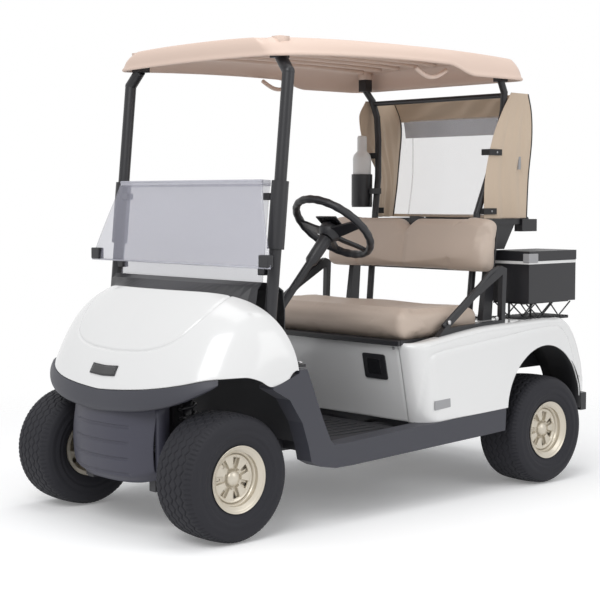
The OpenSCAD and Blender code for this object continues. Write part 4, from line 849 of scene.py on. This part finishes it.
# Rounded box on a grid, with its six sides as one closed mesh; shape moves its points.
def pad(lo, hi, radius, step, shape):
    lo, hi = np.array(lo), np.array(hi)
    n = np.maximum(3, np.ceil((hi - lo) / step)).astype(int)
    mesh = bpy.data.meshes.new("padStart")
    faces, verts = [], []
    base = 0
    for axis in range(3):
        u, w = [k for k in range(3) if k != axis]
        for end in (0, 1):
            a, c = np.meshgrid(np.linspace(0, 1, n[u] + 1), np.linspace(0, 1, n[w] + 1), indexing="ij")
            p = np.zeros(a.shape + (3,))
            p[..., u], p[..., w], p[..., axis] = a, c, end
            v, f = surface(p)
            verts.append(v)
            faces += [[i + base for i in q] for q in f]
            base += len(v)
    v = lo + np.concatenate(verts) * (hi - lo)
    core = np.clip(v, lo + radius, hi - radius)
    d = v - core
    length = np.linalg.norm(d, axis=1)[:, None]
    v = core + d / np.maximum(length, 1e-9) * radius
    v = shape(v, (v - lo) / (hi - lo))
    mesh.from_pydata(v.tolist(), [], faces)
    b = bmesh.new()
    b.from_mesh(mesh)
    bmesh.ops.remove_doubles(b, verts=b.verts, dist=1e-5)
    bmesh.ops.recalc_face_normals(b, faces=b.faces)
    b.to_mesh(mesh)
    b.free()
    return mesh


def inflate(name, mesh, voxel, pins):
    obj = bpy.data.objects.new(name, mesh)
    bpy.context.scene.collection.objects.link(obj)
    bpy.context.view_layer.objects.active = obj
    mod = obj.modifiers.new("even", "REMESH")
    mod.mode, mod.voxel_size = "VOXEL", voxel
    group = obj.vertex_groups.new(name="held")
    dg = bpy.context.evaluated_depsgraph_get()
    even = bpy.data.meshes.new_from_object(obj.evaluated_get(dg))
    obj.modifiers.clear()
    obj.data = even
    co = np.array([q.co for q in even.vertices])
    keep = pins(co)
    group.add(np.nonzero(keep)[0].tolist(), 1.0, "REPLACE")
    cloth = obj.modifiers.new("cloth", "CLOTH")
    c = cloth.settings
    c.quality, c.mass = 4, 0.3
    c.tension_stiffness = c.compression_stiffness = 25
    c.shear_stiffness, c.bending_stiffness = 12, 1.2
    c.use_pressure, c.uniform_pressure_force = True, 3.2
    c.effector_weights.gravity = 0
    c.vertex_group_mass = "held"
    cloth.collision_settings.use_collision = False
    cloth.point_cache.frame_start, cloth.point_cache.frame_end = 1, 20
    scene = bpy.context.scene
    for frameNumber in range(1, 21):
        scene.frame_set(frameNumber)
    dg = bpy.context.evaluated_depsgraph_get()
    puffed = bpy.data.meshes.new_from_object(obj.evaluated_get(dg))
    obj.modifiers.clear()
    moved = np.array([q.co for q in puffed.vertices])
    d = moved - co
    length = np.linalg.norm(d, axis=1)[:, None]
    moved = co + d * np.minimum(1, 0.010 / np.maximum(length, 1e-9))
    puffed.vertices.foreach_set("co", moved.ravel())
    obj.data = puffed
    scene.frame_set(1)
    obj.data.polygons.foreach_set("use_smooth", [True] * len(obj.data.polygons))
    obj.data.materials.clear()
    obj.data.materials.append(m["vinyl"])
    return obj


def cushionShape(v, q):
    # Two shallow seat hollows, a soft roll at the front and a welt line behind it
    x, y, top = v[:, 0], q[:, 1], smooth(0.45, 0.95, q[:, 2])
    hollow = np.exp(-((np.abs(x) - 0.235) / 0.17)**2) * smooth(0.10, 0.40, y) * smooth(1.05, 0.75, y)
    v[:, 2] -= top * 0.014 * hollow
    v[:, 2] += top * 0.006 * np.exp(-((y - 0.12) / 0.10)**2)
    v[:, 1] += (1 - smooth(0.0, 0.5, q[:, 2])) * 0.014 * (1 - smooth(0, 0.3, y))
    return v


# The cushion is held along its foot while it is inflated
cushionPad = pad((-seat["half"], seat["front"], seat["low"]), (seat["half"], seat["rear"], seat["high"]),
                 seat["roundness"], seat["grid"], cushionShape)
cushion = inflate("seat_cushion_cover", cushionPad, seat["voxel"], lambda co: co[:, 2] < seat["low"] + 0.030)
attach(cushion, "seat_lid")
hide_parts("seat_cushion")
print("stage: seat cushion")

tilt = math.radians(seat["tilt"])


# The back's own frame: x across, y into the pad, z up the back
def inBack(v):
    v = np.asarray(v, float)
    y, z = v[..., 1], v[..., 2]
    return np.stack([v[..., 0], seat["backY"] + y * math.cos(tilt) + z * math.sin(tilt),
                     seat["backLow"] - y * math.sin(tilt) + z * math.cos(tilt)], -1)


def backShape(v, q):
    x, z, front = v[:, 0], q[:, 2], smooth(0.6, 0.1, q[:, 1])
    # The bolster is fuller low down; a V opens at the middle of the top edge
    v[:, 1] -= front * 0.010 * np.exp(-((z - 0.32) / 0.26)**2) * np.minimum(1, np.abs(x) / 0.10)
    v[:, 1] += front * 0.010 * np.exp(-(x / 0.022)**2)
    v[:, 2] -= smooth(0.55, 1.0, z) * 0.036 * np.maximum(0, 1 - np.abs(x) / 0.060)
    v[:, 2] -= smooth(0.5, 1.0, z) * 0.016 * smooth(0.36, 0.50, np.abs(x))
    return inBack(v)


# The back is held where it lies on its shell
def onShell(co):
    return (co[:, 1] - seat["backY"]) > 0.060 + (co[:, 2] - seat["backLow"]) * math.tan(tilt)


backPad = pad((-seat["backHalf"], 0, 0), (seat["backHalf"], seat["backThick"], seat["backLen"]),
              seat["backRoundness"], seat["grid"], backShape)
backrest = inflate("seat_back_cover", backPad, seat["voxel"], onShell)
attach(backrest, "chassis")
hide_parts("seat_back")
# Trim strip under the cushion's front edge, and the bracket in the V of the back
edgeStrip = [(seat["front"] - 0.002, 0.632), (seat["front"] - 0.002, 0.652),
             (seat["front"] + 0.016, 0.656), (seat["front"] + 0.016, 0.632)]
piece("seat_edge_strip", prism(edgeStrip, -0.494, 0.494), m["blackPlastic"], "seat_lid", bevel=0.002,
      sharp=30)
bracket = box((-0.030, 0.050, seat["backLen"] - 0.052), (0.030, 0.092, seat["backLen"] + 0.004))
piece("seat_back_bracket", carried(bracket, inBack), m["blackPlastic"], bevel=0.006, sharp=30)
print("stage: seat back")

# Hip restraints: raised rib on each casting
ribs = []
for sx in (-1, 1):
    path = along([(sx * 0.528, rearAxle - 0.600, 0.700), (sx * 0.528, rearAxle - 0.420, 0.822),
                  (sx * 0.528, rearAxle - 0.262, 0.918), (sx * 0.528, rearAxle - 0.232, 0.905),
                  (sx * 0.528, rearAxle - 0.238, 0.720)], 60)
    ribs.append(tube(path, 0.010, 12))
piece("hip_ribs", joined(*ribs), m["blackPlastic"])

# Bag cover: two side wings and a back panel of hung cloth round a clear window
# Each row below is at one height: the wing's front edge and the rear corner, on either side
cover = dict(z=[1.119, 1.300, 1.470, 1.578, 1.652],
             frontX={1: [0.331, 0.352, 0.384, 0.398, 0.4095], -1: [0.340, 0.350, 0.410, 0.418, 0.412]},
             frontY={1: [-0.130, -0.146, -0.134, -0.092, -0.052],
                     -1: [-0.100, -0.080, -0.120, -0.135, -0.100]},
             cornerX={1: [0.322, 0.333, 0.374, 0.390, 0.398], -1: [0.414, 0.418, 0.404, 0.390, 0.398]},
             cornerY={1: [0.164, 0.160, 0.130, 0.104, 0.072], -1: [0.085, 0.118, 0.124, 0.104, 0.072]},
             near=0.288, far=-0.320, sill=1.132, head=1.560, cloth=0.0016, film=0.0009)


def coverFront(z, side):
    return (side * curve(z, cover["z"], cover["frontX"][side]),
            rearAxle + curve(z, cover["z"], cover["frontY"][side]))


def coverCorner(z, side):
    return (side * curve(z, cover["z"], cover["cornerX"][side]),
            rearAxle + curve(z, cover["z"], cover["cornerY"][side]))


# Point of a wing: u is 0 at its front edge and 1 at the rear corner
def wingPoint(u, z, side):
    (x0, y0), (x1, y1) = coverFront(z, side), coverCorner(z, side)
    return np.stack([mix(x0, x1, u), mix(y0, y1, u), z], -1)


# Point of the back panel at x
def backPoint(x, z, out=0.0):
    (x0, y0), (x1, y1) = coverCorner(z, -1), coverCorner(z, 1)
    return np.stack([x, mix(y0, y1, (x - x0) / (x1 - x0)) + out, z], -1)


# Folds hang from the top and deepen towards the foot; they die out at the sewn edges
def wingCloth(side, depth):
    u, t = np.meshgrid(np.linspace(0, 1, 60), np.linspace(0, 1, 100))
    p = wingPoint(u, mix(cover["z"][-1], cover["z"][0], t), side)
    fold = 0.6 * np.sin(u * 15 + 1.5 * np.sin(t * 4) + side) + 0.4 * np.sin(u * 29 - t * 6 + 1)
    held = np.minimum(1, 5 * np.minimum(u - 0.12, 1 - u)).clip(0) * smooth(0, 0.25, t) * (0.6 + 0.4 * t)
    return surface(p + normals(p) * (depth * fold * held)[..., None] * side, flip=side < 0)


# A strip of the back panel between two edges given as functions of height, with slanting folds
def backCloth(x0, x1, z0, z1, columns, rows, depth):
    u, t = np.meshgrid(np.linspace(0, 1, columns), np.linspace(0, 1, rows))
    z = mix(z1, z0, t)
    x = mix(x0(z), x1(z), u)
    held = np.minimum(1, 6 * np.minimum(u, 1 - u)) * np.minimum(1, 4 * np.minimum(t, 1 - t))
    return surface(backPoint(x, z, depth * held * np.sin(x * 34 + 9 * np.abs(x) + t * 5)))


def edgeAt(side):
    return lambda z: coverCorner(z, side)[0]


def sideOf(x):
    return lambda z: np.full(z.shape, x)


cloths = joined(wingCloth(1, 0.005), wingCloth(-1, 0.013),
                backCloth(edgeAt(1), edgeAt(-1), cover["head"], cover["z"][-1], 140, 26, 0.006),
                backCloth(edgeAt(1), edgeAt(-1), cover["z"][0], cover["sill"], 140, 6, 0.001),
                backCloth(edgeAt(1), sideOf(cover["near"]), cover["sill"], cover["head"], 16, 90, 0.002))
clothObj = piece("bag_cover_cloth", cloths, m["canvas"], stands=["bag_cover"], closed=False)
solid(clothObj, cover["cloth"])
# The clear window bellies a little between its sewn edges
x, t = np.meshgrid(np.linspace(cover["far"] - 0.005, cover["near"] + 0.006, 110), np.linspace(0, 1, 60))
z = mix(cover["head"] + 0.006, cover["sill"] - 0.006, t)
belly = 0.003 * np.sin(x * 11) * np.sin(np.pi * t) - 0.004
window = piece("bag_cover_pane", surface(backPoint(x, z, belly)), m["vinylWindow"],
               stands=["bag_cover_window"], closed=False)
solid(window, cover["film"])
# On the far side a clear gusset runs on to the corner
gussetPart = backCloth(sideOf(cover["far"]), edgeAt(-1), cover["sill"], cover["head"], 20, 90, 0.002)
gusset = piece("bag_cover_gusset", gussetPart, m["vinylWindow"], closed=False)
solid(gusset, cover["film"])
# Dark strip across the head of the window: painted shade, for the darker band the window shows there
x, t = np.meshgrid(np.linspace(cover["far"] - 0.050, cover["near"], 90), np.linspace(0, 1, 14))
z = mix(cover["head"], cover["head"] - 0.074, t)
solid(piece("bag_cover_painted_shade", surface(backPoint(x, z, 0.001)), m["windowPaintedShade"], closed=False), 0.0008)
# Piping down both rear corners, and straps that fasten the wings round the struts
trims, snaps = [], []
for side in (-1, 1):
    z = np.linspace(cover["z"][-1] - 0.002, cover["z"][0] + 0.004, 50)
    x, y = coverCorner(z, side)
    trims.append(tube(np.stack([x, y + 0.002, z], -1), 0.0042, 8))
    for z0, x0, y0 in ((1.400, 0.350, -0.088), (1.150, 0.307, -0.141)):
        # The strap runs over the wing, round its front edge and back to the strut
        (a0, b0), (a1, b1) = coverFront(z0, side), coverCorner(z0, side)
        a0, a1, front = abs(float(a0)), abs(float(a1)), float(b0) - 0.005
        back = front + 0.085
        a2 = mix(a0, a1, (back - front) / float(b1 - b0))
        low, high = z0 - 0.013, z0 + 0.013
        outline = [(a0 + 0.004, front), (a2 + 0.004, back), (a2 + 0.007, back), (a0 + 0.008, front - 0.003),
                   (x0 - 0.016, front - 0.003), (x0 - 0.016, front)]
        v = [(q[0], q[1], low) for q in outline] + [(q[0], q[1], high) for q in outline]
        f = [[0, 3, 2, 1], [0, 5, 4, 3], [6, 7, 8, 9], [6, 9, 10, 11]]
        f += [[k, (k + 1) % 6, 6 + (k + 1) % 6, 6 + k] for k in range(6)]
        strap = (np.array(v), f)
        snap = lathe([(0, 0), (0.0045, 0), (0.0045, 0.0015), (0.003, 0.0025), (0, 0.0025)],
                     (mix(a0, a2, 0.6) + 0.0074, mix(front, back, 0.6), z0), (1, 0, 0), 14, False)
        trims.append(strap if side > 0 else mirrored(strap))
        snaps.append(snap if side > 0 else mirrored(snap))
trim = piece("bag_cover_trim", joined(*trims), m["rubber"], sharp=40)
# A blank tag on the near wing
tagX = float(wingPoint(0.78, np.array(1.36), 1)[0])
snaps.append(box((tagX - 0.002, rearAxle + 0.070, 1.330), (tagX + 0.006, rearAxle + 0.084, 1.385)))
snaps = piece("bag_cover_snaps", joined(*snaps), m["greyPlastic"], sharp=40)
# Two wings 0.25 wide and a back 0.77 wide, 0.56 long, less the window
print("stage: bag cover")

# Sand bottle in its holder, cooler details
bottle = np.array([-0.385, rearAxle - 0.150, 1.165])
bottleSide = [(0, 0.005), (0.0415, 0.005), (0.0420, 0.222), (0.038, 0.238), (0.028, 0.250),
              (0.022, 0.256), (0.022, 0.318), (0.018, 0.326), (0, 0.327)]
holderSide = [(0, 0), (0.046, 0), (0.048, 0.01), (0.048, 0.150), (0.0435, 0.150), (0.0435, 0.004), (0, 0.004)]
holderArm = box((bottle[0] + 0.030, bottle[1] - 0.004, bottle[2] + 0.060),
                (-0.300, bottle[1] + 0.040, bottle[2] + 0.086))
piece("bottle_white", lathe(bottleSide, bottle, (0, 0, 1), 48, False), m["whitePlastic"])
piece("bottle_holder", joined(lathe(holderSide, bottle, (0, 0, 1), 48, False), holderArm), m["blackPlastic"],
      stands=["sand_bottle"], sharp=30)
x0, x1, y0, y1 = 0.342, 0.552, rearAxle - 0.096, rearAxle + 0.220
piece("cooler_band", box((x0 - 0.001, y0 - 0.002, 0.930), (x1 + 0.0015, y1, 0.9425)), m["whitePlastic"],
      bevel=0.001, sharp=30)
piece("cooler_latch", box((x1 - 0.030, y0 - 0.006, 0.936), (x1 + 0.006, y0 + 0.055, 0.975)),
      m["greyPlastic"], "cooler_lid", bevel=0.004, sharp=30)
wires = []
for x in (x0 + 0.02, (x0 + x1) / 2, x1 - 0.02):
    wires.append(tube([(x, y0 + 0.01, 0.762), (x, y0 + 0.09, 0.704), (x, y0 + 0.17, 0.762)], 0.0032, 8))
    wires.append(tube([(x, y1 - 0.15, 0.762), (x, y1 - 0.09, 0.704), (x, y1 - 0.01, 0.762)], 0.0032, 8))
ribs = [box((x0 + 0.01, y, 0.694), (x1 - 0.02, y + 0.010, 0.703)) for y in np.arange(y0, y1 - 0.02, 0.022)]
piece("cooler_wires", joined(*wires), m["blackMetal"])
baseTray = box((x0 + 0.01, y0, 0.690), (x1 - 0.02, y1 - 0.02, 0.698))
piece("cooler_base", joined(*ribs, baseTray), m["blackPlastic"], bevel=0.0015, sharp=30)
# Bolt heads where the front struts and the hip restraints are fixed
boltSide = [(0, 0), (0.009, 0), (0.009, 0.005), (0.004, 0.007), (0, 0.007)]
bolts = []
for sx in (-1, 1):
    for x, y, z in ((0.4815, frontAxle + 0.164, 0.609), (0.505, frontAxle + 0.325, 0.609)):
        bolts.append(lathe(boltSide, (sx * x, y, z), (0, 0, 1), 12, False))
    for y in (-0.58, -0.29):
        bolts.append(lathe(boltSide, (sx * 0.541, rearAxle + y, 0.715), (sx, 0, 0), 12, False))
piece("bolts", joined(*bolts), m["brightSteel"])
print("stage: details")

# Floor, light, camera
mesh = bpy.data.meshes.new("floor")
a = np.linspace(0, 2 * np.pi, 96, endpoint=False)
mesh.from_pydata(np.stack([6 * np.cos(a), 6 * np.sin(a), 0 * a], -1).tolist(), [], [list(range(96))])
floor = bpy.data.objects.new("floor", mesh)
bpy.context.scene.collection.objects.link(floor)
paleFloor = surfaceMaterial("floorPale", (0.96, 0.96, 0.96), rough=0.9, tint=0.002, specular=0.0)
# It fades away with the distance from the middle, so that it has no edge
tree = paleFloor.node_tree
place, reach, fade = (tree.nodes.new("ShaderNode" + k) for k in ("TexCoord", "VectorMath", "MapRange"))
reach.operation = "LENGTH"
fade.interpolation_type = "SMOOTHSTEP"
for key, value in {"From Min": 1.2, "From Max": 3.6, "To Min": 1.0, "To Max": 0.0}.items():
    fade.inputs[key].default_value = value
tree.links.new(place.outputs["Object"], reach.inputs[0])
tree.links.new(reach.outputs["Value"], fade.inputs["Value"])
tree.links.new(fade.outputs["Result"], tree.nodes["Principled BSDF"].inputs["Alpha"])
tree.nodes["Principled BSDF"].inputs["Emission Color"].default_value = (1, 1, 1, 1)
tree.nodes["Principled BSDF"].inputs["Emission Strength"].default_value = 0.16
mesh.materials.append(paleFloor)
world = bpy.data.worlds.new("surroundings")
bpy.context.scene.world = world
world.use_nodes = True
tree = world.node_tree
tree.nodes.clear()
out = tree.nodes.new("ShaderNodeOutputWorld")
path = tree.nodes.new("ShaderNodeLightPath")
# Plain white where it is seen directly, in a reflection or through glass; a softer fill for the light
plain, fill, choose = (tree.nodes.new("ShaderNode" + k) for k in ("Background", "Background", "MixShader"))
plain.inputs["Color"].default_value = (1, 1, 1, 1)
plain.inputs["Strength"].default_value = 1.0
fill.inputs["Color"].default_value = (0.97, 0.98, 1.0, 1)
fill.inputs["Strength"].default_value = 0.58
a = tree.nodes.new("ShaderNodeMath")
b = tree.nodes.new("ShaderNodeMath")
a.operation = b.operation = "MAXIMUM"
tree.links.new(path.outputs["Is Camera Ray"], a.inputs[0])
tree.links.new(path.outputs["Is Glossy Ray"], a.inputs[1])
tree.links.new(a.outputs[0], b.inputs[0])
tree.links.new(path.outputs["Is Transmission Ray"], b.inputs[1])
tree.links.new(b.outputs[0], choose.inputs[0])
tree.links.new(fill.outputs[0], choose.inputs[1])
tree.links.new(plain.outputs[0], choose.inputs[2])
tree.links.new(choose.outputs[0], out.inputs["Surface"])
for name, place, aim, size, power in (("keyLight", (2.5, -4.5, 4.5), (0, 0, 0.8), 3.0, 132),
                                      ("sideLight", (5.0, 1.5, 3.0), (0, 0.3, 0.7), 3.0, 46),
                                      ("topLight", (0, 0, 5.5), (0, 0, 0), 4.0, 80)):
    data = bpy.data.lights.new(name, "AREA")
    data.size, data.energy = size, power
    lamp = bpy.data.objects.new(name, data)
    bpy.context.scene.collection.objects.link(lamp)
    lamp.location = place
    lamp.rotation_euler = (Vector(aim) - Vector(place)).to_track_quat("-Z", "Y").to_euler()
camera = bpy.data.cameras.new("camera")
camera.lens, camera.sensor_width = 87.47, 36
camera.clip_end = 100
eye = bpy.data.objects.new("camera", camera)
bpy.context.scene.collection.objects.link(eye)
eye.location = (4.401, -4.1402, 1.212)
eye.rotation_euler = (math.radians(85.95), 0, math.radians(47.69))
bpy.context.scene.camera = eye
bpy.context.scene.view_settings.view_transform = "Standard"
